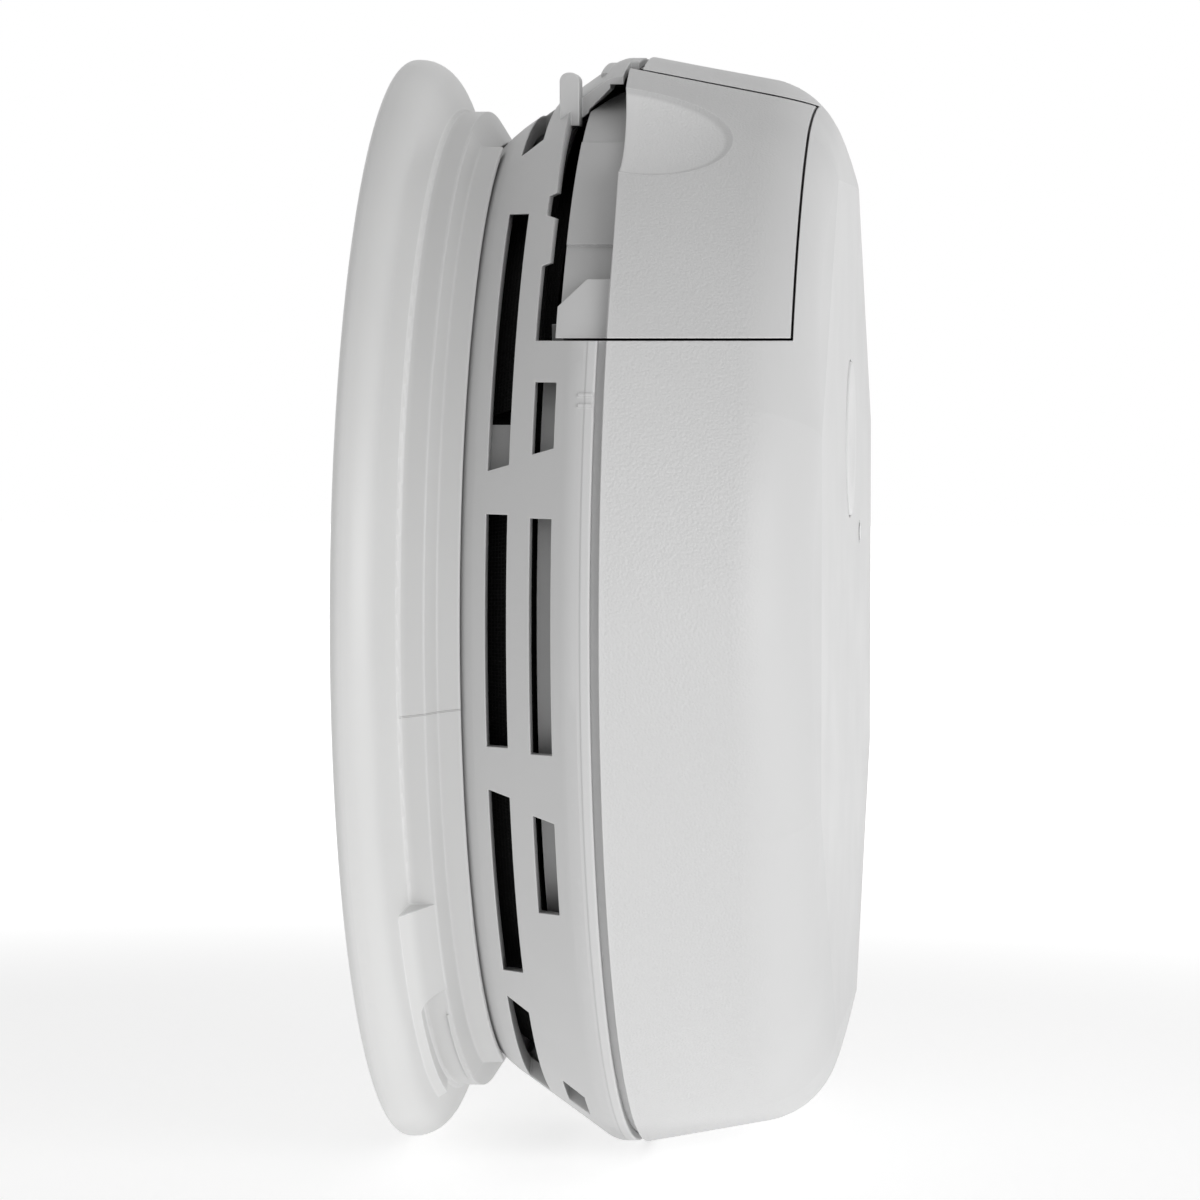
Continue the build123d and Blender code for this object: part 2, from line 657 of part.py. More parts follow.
def tray_end_x():
    """Inner end of the tray, flush with the battery's body."""
    return battery_outer_x() + BATTERY_LENGTH


def battery_outer_x():
    """Outer end of the battery, behind the curved front of the tray."""
    return BATTERY_INSET - sqrt((TRAY_FRONT_R - TRAY_WALL) ** 2 - tray_upper_y() ** 2)


def tray_corner(gap):
    """Outline of the tray's front as (height, y), with its chamfered upper corner, grown by a gap."""
    low_h = TRAY_LOW_H - gap
    high_y = TRAY_FRONT_HIGH_Y + gap
    return [
        (low_h, DRAWER_LOW_Y),
        (low_h, high_y - TRAY_CORNER),
        (low_h + TRAY_CORNER, high_y),
        (COVER_EDGE_H + 3, high_y),
        (COVER_EDGE_H + 3, DRAWER_LOW_Y),
    ]


def scoop(growth):
    """Thumb scoop: egg-shaped hollow, open at the panel's edge; growth gives the wall behind it."""
    spread = 1 / sqrt(1 - SCOOP_SHARE**2)
    depth = SCOOP_DEPTH / (1 - SCOOP_SHARE)
    radii = (depth + growth, SCOOP_HALF_WIDTH * spread + growth, SCOOP_LENGTH * spread + growth)
    form = Pos(depth * SCOOP_SHARE, 0, 0) * scale(Sphere(1.0), radii)
    return at_angle(SCOOP_ANGLE) * Pos(COVER_EDGE_R, 0, COVER_EDGE_H) * Rot(0, -COVER_DRAFT, 0) * form


def battery_drawer(form):
    """Outer panel with its thumb scoop, and the tray that carries the battery."""
    outline = drawer_outline(0.0)
    outer = form & outline
    panel = outer - cover_inside(PANEL_WALL, 0.0)
    backing = (scoop(PANEL_WALL - 0.6) & outer) - cover_inside(DRAWER_POCKET - DRAWER_GAP, 0.0)
    panel += backing

    front_high_h = COVER_EDGE_H + 1.5
    front = wedge(TRAY_FRONT_R - TRAY_WALL, TRAY_FRONT_R, TRAY_LOW_H, front_high_h, 25, 85)
    step_r = TRAY_FRONT_R + TRAY_STEP
    front += wedge(TRAY_FRONT_R - 0.5, step_r, TRAY_LOW_H, front_high_h, TRAY_STEP_START, TRAY_STEP_END)
    front += wedge(TRAY_FRONT_R - TRAY_WALL, LIP_R - 1.0, COVER_EDGE_H - 0.2, front_high_h, 25, 85)
    front = front & side_prism(tray_corner(0.0), -FAR, DRAWER_END_X)

    cheek_high_y = DRAWER_LOW_Y + CHEEK_WIDTH
    cheek = wedge(TRAY_FRONT_R - TRAY_WALL, LIP_R - CHEEK_INSET, TRAY_LOW_H - 0.1, COVER_EDGE_H, 25, 50)
    cheek = cheek & side_prism(
        [
            (TRAY_LOW_H - 0.1, DRAWER_LOW_Y),
            (TRAY_LOW_H - 0.1, cheek_high_y - CHEEK_CHAMFER),
            (TRAY_LOW_H - 0.1 + CHEEK_CHAMFER, cheek_high_y),
            (COVER_EDGE_H, cheek_high_y),
            (COVER_EDGE_H, DRAWER_LOW_Y),
        ],
        -FAR,
        0,
    )

    low_y, high_y = DRAWER_LOW_Y, tray_upper_y()
    inner_x = tray_end_x()
    side_top_h = TRAY_LOW_H + TRAY_FLOOR + BATTERY_WIDTH * 0.8
    tray = block((-FAR, inner_x), (low_y, high_y), (TRAY_LOW_H, TRAY_LOW_H + TRAY_FLOOR))
    tray += block((-FAR, inner_x), (low_y, low_y + TRAY_WALL), (TRAY_LOW_H, side_top_h))
    tray += block((-FAR, inner_x), (high_y - TRAY_WALL, high_y), (TRAY_LOW_H, side_top_h))
    stop_x = battery_outer_x() - BATTERY_GAP
    tray += block((stop_x - TRAY_WALL, stop_x), (low_y, high_y), (TRAY_LOW_H, side_top_h))
    inside = turned([(0, 0), (TRAY_FRONT_R - 0.2, 0), (TRAY_FRONT_R - 0.2, COVER_EDGE_H + 1.4), (0, FAR)])
    tray = tray & inside & cover_inside(PANEL_WALL - 0.2, 0.0)
    return panel + front + cheek + tray - scoop(0.0)


def battery_middle_y():
    """Middle of the battery across the tray."""
    return DRAWER_LOW_Y + TRAY_WALL + BATTERY_GAP + BATTERY_THICK / 2


def battery():
    """Body of the 9 V block battery, lying with its terminals inwards."""
    middle_y = battery_middle_y()
    body = block(
        (battery_outer_x(), tray_end_x()),
        (middle_y - BATTERY_THICK / 2, middle_y + BATTERY_THICK / 2),
        (BATTERY_LOW_H, BATTERY_HIGH_H),
    )
    return fillet(body.edges().filter_by(Axis.X), BATTERY_ROUND)


def terminal_heights():
    """Heights off the wall of the two terminals."""
    middle_h = (BATTERY_LOW_H + BATTERY_HIGH_H) / 2
    return middle_h - TERMINAL_PITCH / 2, middle_h + TERMINAL_PITCH / 2


def battery_terminals():
    """Snap stud and snap socket on the battery's inner end."""
    low_h, high_h = terminal_heights()
    end_x = tray_end_x()
    stud = Pos(end_x + TERMINAL_HEIGHT / 2, battery_middle_y(), low_h) * Rot(0, 90, 0)
    stud = stud * Cylinder(STUD_R, TERMINAL_HEIGHT)
    flare = Pos(end_x, battery_middle_y(), high_h) * Rot(0, 90, 0)
    hexagon = extrude(RegularPolygon(SOCKET_R, 6), TERMINAL_HEIGHT)
    hexagon -= Pos(0, 0, TERMINAL_HEIGHT / 2) * extrude(Circle(STUD_R), TERMINAL_HEIGHT)
    return Compound([stud, flare * hexagon])


def contact_holder():
    """Moulded post on the board that carries the two battery contacts."""
    face_x = tray_end_x() + TERMINAL_HEIGHT + 1.0
    middle_y = battery_middle_y()
    plate_h = (BATTERY_LOW_H + 0.5, BATTERY_HIGH_H - 1.6)
    plate = block((face_x, face_x + 1.6), (middle_y - 8, middle_y + 8), plate_h)
    foot = block((face_x, face_x + 1.6), (middle_y - 8, middle_y), (BOARD_HIGH_H, BATTERY_LOW_H + 0.5))
    brace_high_h = (BATTERY_LOW_H + BATTERY_HIGH_H) / 2
    brace = block((face_x + 1.6, face_x + 6.0), (middle_y - 8, middle_y - 6), (BOARD_HIGH_H, brace_high_h))
    sole = block((face_x, face_x + 6.0), (middle_y - 8, middle_y), (BOARD_HIGH_H, BOARD_HIGH_H + 1.6))
    return plate + foot + brace + sole


def battery_contacts():
    """Two bowed spring strips on the holder, one facing each terminal."""
    face_x = tray_end_x() + TERMINAL_HEIGHT + 1.0
    bow = 0.7
    strips = []
    for height in terminal_heights():
        with BuildSketch(Plane.XZ.offset(-battery_middle_y() - 4)) as strip:
            with BuildLine():
                ThreePointArc((face_x, height - 5), (face_x - bow, height), (face_x, height + 5))
                Line((face_x, height + 5), (face_x, height + 3.6))
                ThreePointArc((face_x, height + 3.6), (face_x - bow + 0.35, height), (face_x, height - 3.6))
                Line((face_x, height - 3.6), (face_x, height - 5))
            make_face()
        strips.append(extrude(strip.sketch, 8))
    return Compound(strips)


# -------------------------------------------------------------------------------- electronics
def board_holes():
    """Screw holes of the board."""
    holes = []
    for angle in BOARD_SCREW_ANGLES:
        holes.append(at_angle(angle) * rod(SCREW_R + 0.2, 0, FAR, BOARD_SCREW_CIRCLE_R))
    return holes


def circuit_board():
    """Round board on its three bosses."""
    board = rod(BOARD_R, BOARD_LOW_H, BOARD_HIGH_H)
    for hole in board_holes():
        board -= hole
    board -= block((BOARD_R - 2.2, BOARD_R + 1), (-3, 3), (0, FAR))
    return board


def board_screws():
    """Three pan-head screws that hold the board."""
    screws = []
    for angle in BOARD_SCREW_ANGLES:
        x = BOARD_SCREW_CIRCLE_R
        head = rod(SCREW_HEAD_R, BOARD_HIGH_H, BOARD_HIGH_H + SCREW_HEAD_H, x)
        head = fillet(head.faces().sort_by(Axis.Z)[-1].edges(), SCREW_HEAD_H * 0.6)
        cross = block((x - 1.6, x + 1.6), (-0.3, 0.3), (BOARD_HIGH_H + 0.9, FAR))
        cross += block((x - 0.3, x + 0.3), (-1.6, 1.6), (BOARD_HIGH_H + 0.9, FAR))
        shank = rod(SCREW_R, BOARD_HIGH_H - SCREW_LENGTH, BOARD_HIGH_H, x)
        screws.append(at_angle(angle) * (head - cross + shank))
    return Compound(screws)


def mains_socket():
    """Recessed socket in the rear plate that takes the wiring harness's plug."""
    half_x, half_y = SOCKET_WIDTH / 2, SOCKET_HEIGHT / 2
    body = block((-half_x, half_x), (-half_y, half_y), (DRUM_BACK_H, BOARD_LOW_H))
    body = fillet(body.edges().filter_by(Axis.Z), 1.2)
    flange = 2.0
    body += block(
        (-half_x - flange, half_x + flange),
        (-half_y - flange, half_y + flange),
        (REAR_PLATE_H, REAR_PLATE_H + 1.2),
    )
    body -= block(
        (-half_x + SOCKET_WALL, half_x - SOCKET_WALL),
        (-half_y + SOCKET_WALL, half_y - SOCKET_WALL),
        (0, BOARD_LOW_H - SOCKET_WALL),
    )
    half_pin = PIN_THICK / 2 + FIT_GAP / 2
    for number in (-1, 0, 1):
        x = number * PIN_PITCH
        body -= block((x - half_pin, x + half_pin), (-half_pin, half_pin), (0, BOARD_LOW_H))
    key_y = half_y - SOCKET_WALL
    key = block((-2, 2), (key_y - 0.8, key_y + 0.1), (DRUM_BACK_H, BOARD_LOW_H - 2))
    return body + key


def mains_pins():
    """Three pins of the socket, soldered to the back of the board."""
    pins = []
    for number in (-1, 0, 1):
        x = number * PIN_PITCH
        half = PIN_THICK / 2
        pin = block((x - half, x + half), (-half, half), (BOARD_LOW_H - PIN_LENGTH, BOARD_LOW_H))
        pins.append(chamfer(pin.faces().sort_by(Axis.Z)[0].edges(), 0.3))
    return Compound(pins)


def diode_seats():
    """Angles about the chamber's axis of the light source and the receiver."""
    return LED_ANGLE, PHOTODIODE_ANGLE


def sensing_chamber():
    """Dark chamber: floor, a ring of slanted vanes that smoke passes and light doesn't, two cradles."""
    floor_h = BOARD_HIGH_H + CHAMBER_FLOOR
    chamber = rod(CHAMBER_R, BOARD_HIGH_H, floor_h)
    vane = Rot(0, 0, VANE_TURN) * block(
        (-VANE_LENGTH / 2, VANE_LENGTH / 2), (-VANE_THICK / 2, VANE_THICK / 2), (floor_h - 0.2, CHAMBER_TOP_H)
    )
    for number in range(VANE_COUNT):
        angle = number * 360 / VANE_COUNT
        if min(abs(angle - seat) for seat in diode_seats()) > 360 / VANE_COUNT:
            chamber += at_angle(angle) * Pos(VANE_R, 0, 0) * vane
    width = DIODE_R + 1.2
    for seat in diode_seats():
        cradle = block((11.5, CHAMBER_R - 1), (-width, width), (floor_h - 0.2, DIODE_H))
        groove = Pos(15, 0, DIODE_H) * Rot(0, 90, 0) * Cylinder(DIODE_R + FIT_GAP, 20)
        chamber += at_angle(seat) * (cradle - groove)
    return Pos(CHAMBER_X, CHAMBER_Y, 0) * chamber


def chamber_cap():
    """Lid of the chamber, with a raised rim."""
    lid = rod(CHAMBER_R + 0.4, CHAMBER_TOP_H, CHAMBER_TOP_H + CAP_THICK)
    rim_h = CHAMBER_TOP_H + CAP_THICK
    lid += tube(CHAMBER_R - 3, CHAMBER_R - 1.4, rim_h - 0.1, rim_h + 1.2)
    return Pos(CHAMBER_X, CHAMBER_Y, 0) * lid


def chamber_diode(angle):
    """Round-nosed optical part lying in its cradle, looking at the chamber's middle."""
    rim = 0.5
    body = Cylinder(DIODE_R, DIODE_LENGTH - DIODE_R)
    nose = Pos(0, 0, -(DIODE_LENGTH - DIODE_R) / 2) * Sphere(DIODE_R)
    collar = Pos(0, 0, (DIODE_LENGTH - DIODE_R) / 2 - rim / 2) * Cylinder(DIODE_R + FIT_GAP / 2, rim)
    diode = Pos(15.5, 0, DIODE_H) * Rot(0, 90, 0) * (body + nose + collar)
    return Pos(CHAMBER_X, CHAMBER_Y, 0) * at_angle(angle) * diode


def insect_screen():
    """Fine dark screen band behind the vents, standing on the base's ledge."""
    return tube(SCREEN_R - SCREEN_THICK, SCREEN_R, LEDGE_H, LEDGE_H + SCREEN_HEIGHT)


def board_parts():
    """Mains supply and logic parts on the board, each as its own node."""
    top = BOARD_HIGH_H
    capacitor = block((BOARD_R - 14, BOARD_R - 5), (-12, 6), (top, top + 13))
    capacitor = fillet(capacitor.edges(), 0.8)
    can = rod(5.0, top, top + 10, BOARD_R - 11, 14)
    can = fillet(can.faces().sort_by(Axis.Z)[-1].edges(), 0.8)

    varistor_x = BOARD_R - 10
    varistor = Pos(varistor_x, -20, top + 7.0) * Rot(0, 90, 0) * Cylinder(5.5, 4)
    for y in (-23.75, -16.25):
        varistor += block((varistor_x - 0.4, varistor_x + 0.4), (y - 0.4, y + 0.4), (top, top + 6))

    chip = block((-31, -12), (14, 20.4), (top + 0.6, top + 3.8))
    chip -= Pos(-31, 17.2, top + 3.8) * Cylinder(1.2, 1.0)
    for number in range(7):
        x = -29.1 + number * 2.54
        chip += block((x - 0.4, x + 0.4), (13.2, 14.2), (top, top + 2.2))
        chip += block((x - 0.4, x + 0.4), (20.2, 21.2), (top, top + 2.2))

    resistors = []
    for number in range(6):
        body = Pos(12 - BOARD_R, 1 - number * 4.2, top + 1.15) * Rot(0, 90, 0) * Cylinder(1.15, 6.4)
        resistors.append(body)
    return {
        "power_capacitor": capacitor,
        "smoothing_capacitor": can,
        "surge_varistor": varistor,
        "controller_chip": chip,
        "resistors": Compound(resistors),
    }


# ----------------------------------------------------------------------------------- sounder
def horn_ledge_h():
    """Height off the wall of the ledge that the horn's disc lies on."""
    return BOARD_HIGH_H + HORN_DEPTH - HORN_LEDGE_DEPTH


def horn_housing():
    """Open cup on the board, with the ledge that holds the disc."""
    high_h = BOARD_HIGH_H + HORN_DEPTH
    cup = tube(HORN_R - HORN_WALL, HORN_R, BOARD_HIGH_H, high_h)
    cup += rod(HORN_R, BOARD_HIGH_H, BOARD_HIGH_H + HORN_WALL)
    cup += tube(HORN_R - HORN_WALL - HORN_LEDGE, HORN_R - 0.5, horn_ledge_h() - HORN_LEDGE, horn_ledge_h())
    return Pos(HORN_X, HORN_Y, 0) * cup


def piezo_disc():
    """Thin metal disc with its ceramic layer, on the horn's ledge."""
    disc = rod(HORN_R - HORN_WALL - FIT_GAP, horn_ledge_h(), horn_ledge_h() + DISC_THICK)
    disc += rod(CERAMIC_R, horn_ledge_h() + DISC_THICK - 0.05, horn_ledge_h() + DISC_THICK + 0.25)
    return Pos(HORN_X, HORN_Y, 0) * disc


# --------------------------------------------------------------------- test button, indicator
def flange_high_h():
    """Top of the button's flange, just under the face."""
    return FACE_INNER_H - BUTTON_GAP


def plunger_top_h():
    """Top of the switch's plunger, where the button's stem stands."""
    return BOARD_HIGH_H + SWITCH_HEIGHT + PLUNGER_PROUD


def test_button():
    """Round press button with a flange behind the face and a long stem down to the switch."""
    cap = rod(BUTTON_R, flange_high_h() - BUTTON_FLANGE_THICK, FACE_H + BUTTON_PROUD)
    cap = fillet(cap.faces().sort_by(Axis.Z)[-1].edges(), 0.5)
    dish_r = 60.0
    cap -= Pos(0, 0, FACE_H + BUTTON_PROUD + dish_r - 0.4) * Sphere(dish_r)
    button = cap + rod(BUTTON_R + BUTTON_FLANGE, flange_high_h() - BUTTON_FLANGE_THICK, flange_high_h())
    button += rod(STEM_R, plunger_top_h(), flange_high_h() - BUTTON_FLANGE_THICK + 0.1)
    return at_button() * button


def button_spring():
    """Coil spring round the stem, between the cage's floor and the button's flange."""
    low_h = FACE_INNER_H - CAGE_DEPTH + CAGE_WALL
    high_h = flange_high_h() - BUTTON_FLANGE_THICK
    rise = high_h - low_h - 2 * SPRING_WIRE_R
    path = Helix(rise / SPRING_TURNS, rise, SPRING_R)
    wire = Plane(origin=path @ 0, z_dir=path % 0) * Circle(SPRING_WIRE_R)
    coil = sweep(wire, path=path)
    return at_button() * Pos(0, 0, low_h + SPRING_WIRE_R) * coil


def test_switch():
    """Push switch on the board, with the bore that its plunger slides in."""
    half = SWITCH_SIZE / 2
    body = block((-half, half), (-half, half), (BOARD_HIGH_H, BOARD_HIGH_H + SWITCH_HEIGHT))
    bore_low_h = plunger_top_h() - PLUNGER_HEIGHT - BUTTON_TRAVEL - 0.1
    return at_button() * (body - rod(PLUNGER_R + FIT_GAP, bore_low_h, FAR))


def switch_plunger():
    """Plunger of the switch, pushed by the button's stem."""
    return rod(PLUNGER_R, plunger_top_h() - PLUNGER_HEIGHT, plunger_top_h(), BUTTON_X, BUTTON_Y)


def indicator_led():
    """Indicator on the board, under the light pipe."""
    body = rod(LED_BODY_R, BOARD_HIGH_H, BOARD_HIGH_H + LED_HEIGHT - LED_BODY_R, PIPE_X, PIPE_Y)
    dome = Pos(PIPE_X, PIPE_Y, BOARD_HIGH_H + LED_HEIGHT - LED_BODY_R) * Sphere(LED_BODY_R)
    return body + dome


def light_pipe():
    """Clear rod that carries the indicator's light to the face."""
    low_h = BOARD_HIGH_H + LED_HEIGHT + 0.3
    pipe = rod(PIPE_R, low_h, FACE_H + 0.1, PIPE_X, PIPE_Y)
    pipe = fillet(pipe.faces().sort_by(Axis.Z)[-1].edges(), 0.5)
    return pipe + rod(PIPE_R + 1.0, FACE_INNER_H - 10.2, FACE_INNER_H - 9.0, PIPE_X, PIPE_Y)


# ---------------------------------------------------------------------------------- all pieces
def all_pieces():
    """Every node's solid, by name."""
    form = cover_form()
    pieces = {
        "mounting_bracket": mounting_bracket(),
        "base_housing": base_housing(),
        "front_cover": front_cover(form),
        "battery_drawer": battery_drawer(form),
        "battery": battery(),
        "battery_terminals": battery_terminals(),
        "contact_holder": contact_holder(),
        "battery_contacts": battery_contacts(),
        "circuit_board": circuit_board(),
        "board_screws": board_screws(),
        "mains_socket": mains_socket(),
        "mains_pins": mains_pins(),
        "sensing_chamber": sensing_chamber(),
        "chamber_cap": chamber_cap(),
        "infrared_led": chamber_diode(LED_ANGLE),
        "photodiode": chamber_diode(PHOTODIODE_ANGLE),
        "insect_screen": insect_screen(),
        "horn_housing": horn_housing(),
        "piezo_disc": piezo_disc(),
        "test_button": test_button(),
        "button_spring": button_spring(),
        "test_switch": test_switch(),
        "switch_plunger": switch_plunger(),
        "indicator_led": indicator_led(),
        "light_pipe": light_pipe(),
    }
    pieces.update(board_parts())
    return pieces


os.makedirs("parts", exist_ok=True)
upright = Plane.XZ.location
for name, piece in all_pieces().items():
    export_step(upright * piece, f"parts/{name}.step")
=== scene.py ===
"""Finish and studio for a smoke alarm with a battery drawer on its twist-lock bracket.

The wall is the XZ plane, the face looks along -Y and +Z is up. Heights off the wall are -Y.
"""

import bmesh
import bpy
from math import cos, radians, sin
from mathutils import Matrix, Vector


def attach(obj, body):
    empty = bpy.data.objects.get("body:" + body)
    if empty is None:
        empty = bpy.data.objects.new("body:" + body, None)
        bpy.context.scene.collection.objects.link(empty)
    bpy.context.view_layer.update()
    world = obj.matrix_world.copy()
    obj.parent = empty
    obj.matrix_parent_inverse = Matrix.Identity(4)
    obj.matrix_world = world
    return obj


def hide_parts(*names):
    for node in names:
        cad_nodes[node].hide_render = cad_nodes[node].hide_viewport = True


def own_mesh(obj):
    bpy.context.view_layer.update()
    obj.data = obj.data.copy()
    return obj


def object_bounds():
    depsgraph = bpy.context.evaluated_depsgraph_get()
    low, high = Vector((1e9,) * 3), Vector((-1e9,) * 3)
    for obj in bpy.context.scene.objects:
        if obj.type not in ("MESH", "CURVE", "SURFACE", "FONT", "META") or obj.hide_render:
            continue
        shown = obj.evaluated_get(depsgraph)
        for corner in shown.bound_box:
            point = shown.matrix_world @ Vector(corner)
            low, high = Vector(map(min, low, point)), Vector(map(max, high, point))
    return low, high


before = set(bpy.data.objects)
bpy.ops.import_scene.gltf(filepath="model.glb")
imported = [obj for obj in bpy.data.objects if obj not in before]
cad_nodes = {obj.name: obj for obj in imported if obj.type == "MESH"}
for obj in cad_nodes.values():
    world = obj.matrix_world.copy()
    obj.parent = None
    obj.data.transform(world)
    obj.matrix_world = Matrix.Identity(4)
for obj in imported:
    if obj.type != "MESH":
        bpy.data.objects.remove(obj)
cad_low, cad_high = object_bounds()


# ---------------------------------------------------------------------------------------- studio
# A pale, softly glowing table under the alarm in a white room, with two broad soft panels: one
# before the face and one overhead. The table keeps the alarm's shadow and fades to plain white.
scene = bpy.context.scene
scene.view_settings.view_transform = "Standard"
alarm_middle = Vector((0.0, -0.0295, 0.0))
camera_away = 0.663
sight_turn = radians(6.18)
sight_rise = radians(3.17)
sight_level = Vector((-cos(sight_turn), -sin(sight_turn), 0.0))
sight_back = sight_level * cos(sight_rise) + Vector((0, 0, sin(sight_rise)))
sight_right = Vector((sin(sight_turn), -cos(sight_turn), 0.0))
sight_up = sight_back.cross(sight_right)

camera_data = bpy.data.cameras.new("camera")
camera_data.sensor_width = 36.0
camera_data.lens = 150.54
camera = bpy.data.objects.new("camera", camera_data)
scene.collection.objects.link(camera)
camera_aim = alarm_middle - 0.00469 * sight_right - 0.00012 * sight_up
camera_turn = Matrix((sight_right, sight_up, sight_back)).transposed().to_4x4()
camera.matrix_world = Matrix.Translation(camera_aim + camera_away * sight_back) @ camera_turn
scene.camera = camera


panel_side = 0.7
panel_away = 0.9


def soft_panel(name, toward, power):
    """Broad square lamp that looks at the alarm from a direction."""
    lamp = bpy.data.lights.new(name, "AREA")
    lamp.shape = "SQUARE"
    lamp.size = panel_side
    lamp.energy = power
    panel = bpy.data.objects.new(name, lamp)
    scene.collection.objects.link(panel)
    back = toward.normalized()
    turn = back.to_track_quat("Z", "Y").to_matrix().to_4x4()
    panel.matrix_world = Matrix.Translation(alarm_middle + back * panel_away) @ turn


soft_panel("face_panel", sight_right + sight_back * 1.25, 4.1)
soft_panel("wall_high_panel", sight_up - sight_right, 0.25)


def shader_node(tree, kind, inputs=None, **settings):
    """Adds a shader node, then sets its settings and sets or links its inputs."""
    node = tree.nodes.new("ShaderNode" + kind)
    for name, value in settings.items():
        setattr(node, name, value)
    for name, value in (inputs or {}).items():
        if isinstance(value, bpy.types.NodeSocket):
            tree.links.new(value, node.inputs[name])
        else:
            node.inputs[name].default_value = value
    return node


def seen_plainly(tree):
    """1 for what the camera sees straight, mirrored or through something clear, else 0."""
    ray = shader_node(tree, "LightPath")
    straight = {0: ray.outputs["Is Camera Ray"], 1: ray.outputs["Is Glossy Ray"]}
    mirrored = shader_node(tree, "Math", straight, operation="MAXIMUM")
    either = {0: mirrored.outputs[0], 1: ray.outputs["Is Transmission Ray"]}
    return shader_node(tree, "Math", either, operation="MAXIMUM").outputs[0]


world = bpy.data.worlds.new("white_room")
scene.world = world
world.use_nodes = True
room = world.node_tree
room.nodes.clear()
room_light = shader_node(room, "Background", {"Color": (1, 1, 1, 1), "Strength": 0.37})
room_white = shader_node(room, "Background", {"Color": (1, 1, 1, 1), "Strength": 1.0})
room_mix = shader_node(
    room, "MixShader", {0: seen_plainly(room), 1: room_light.outputs[0], 2: room_white.outputs[0]}
)
shader_node(room, "OutputWorld", {"Surface": room_mix.outputs[0]})

paper = bpy.data.materials.new("table_paper")
paper.use_nodes = True
paper_tree = paper.node_tree
paper_tree.nodes.clear()
paper_place = shader_node(paper_tree, "TexCoord").outputs["Object"]
paper_reach = shader_node(paper_tree, "VectorMath", {0: paper_place}, operation="LENGTH").outputs["Value"]
paper_limits = {"Value": paper_reach, "From Min": 0.16, "From Max": 0.42, "To Min": 0.56, "To Max": 1.0}
paper_step = shader_node(paper_tree, "MapRange", paper_limits, interpolation_type="SMOOTHSTEP")
paper_fade = paper_step.outputs["Result"]
paper_face = shader_node(paper_tree, "BsdfDiffuse", {"Color": (0.8, 0.8, 0.8, 1)})
paper_glow = shader_node(paper_tree, "Emission", {"Strength": 0.51})
paper_lit = shader_node(paper_tree, "AddShader", {0: paper_face.outputs[0], 1: paper_glow.outputs[0]})
paper_white = shader_node(paper_tree, "Emission", {"Strength": paper_fade})
paper_shown = shader_node(paper_tree, "AddShader", {0: paper_face.outputs[0], 1: paper_white.outputs[0]})
paper_sides = {0: seen_plainly(paper_tree), 1: paper_lit.outputs[0], 2: paper_shown.outputs[0]}
paper_mix = shader_node(paper_tree, "MixShader", paper_sides)
shader_node(paper_tree, "OutputMaterial", {"Surface": paper_mix.outputs[0]})

table_gap = 0.0004
table_height = cad_low.z - table_gap
table_half = 2
table_corners = [(-table_half, -table_half), (table_half, -table_half),
                 (table_half, table_half), (-table_half, table_half)]
table_mesh = bpy.data.meshes.new("table")
table_mesh.from_pydata([(x, y, table_height) for x, y in table_corners], [], [(0, 1, 2, 3)])
table_mesh.materials.append(paper)
table = bpy.data.objects.new("table", table_mesh)
scene.collection.objects.link(table)


# ------------------------------------------------------------------------------- mounting bracket
# White moulded plate that screws to the wall: a rounded flange, a stepped collar and slots. It is
# injection moulded and left satin from the tool, with one parting line across its collar.
def new_finish(name, colour, roughness, metallic=0.0):
    """Starts a material, and gives it, its tree, its shader and the piece's own coordinates."""
    material = bpy.data.materials.new(name)
    material.use_nodes = True
    tree = material.node_tree
    shader = tree.nodes["Principled BSDF"]
    shader.inputs["Base Color"].default_value = (*colour, 1)
    shader.inputs["Roughness"].default_value = roughness
    shader.inputs["Metallic"].default_value = metallic
    return material, tree, shader, shader_node(tree, "TexCoord").outputs["Object"]


def stepped(tree, value, low, high, from_value=0.0, to_value=1.0):
    """Smooth step of a value between two limits."""
    limits = {"Value": value, "From Min": low, "From Max": high, "To Min": from_value, "To Max": to_value}
    return shader_node(tree, "MapRange", limits, interpolation_type="SMOOTHSTEP").outputs["Result"]


def reckoned(tree, operation, *values):
    """Result of a sum on values or sockets."""
    return shader_node(tree, "Math", dict(enumerate(values)), operation=operation).outputs[0]


def blended(tree, factor, first, second):
    """Colour between two colours or sockets."""
    pair = {"Factor": factor}
    for key, colour in (("A", first), ("B", second)):
        pair[key] = colour if isinstance(colour, bpy.types.NodeSocket) else (*colour, 1)
    mix = shader_node(tree, "Mix", None, data_type="RGBA")
    for key, value in pair.items():
        kind = "VALUE" if key == "Factor" else "RGBA"
        socket = next(s for s in mix.inputs if s.name == key and s.type == kind)
        if isinstance(value, bpy.types.NodeSocket):
            tree.links.new(value, socket)
        else:
            socket.default_value = value
    return next(s for s in mix.outputs if s.type == "RGBA")


def noise(tree, place, scale, detail=3.0):
    """Smooth random field from 0 to 1."""
    return shader_node(tree, "TexNoise", {"Vector": place, "Scale": scale, "Detail": detail}).outputs["Fac"]


def bumped(tree, height, distance, strength=1.0, normal=None, invert=False):
    """Normal of a surface raised by a height."""
    inputs = {"Height": height, "Distance": distance, "Strength": strength}
    if normal is not None:
        inputs["Normal"] = normal
    return shader_node(tree, "Bump", inputs, invert=invert).outputs["Normal"]


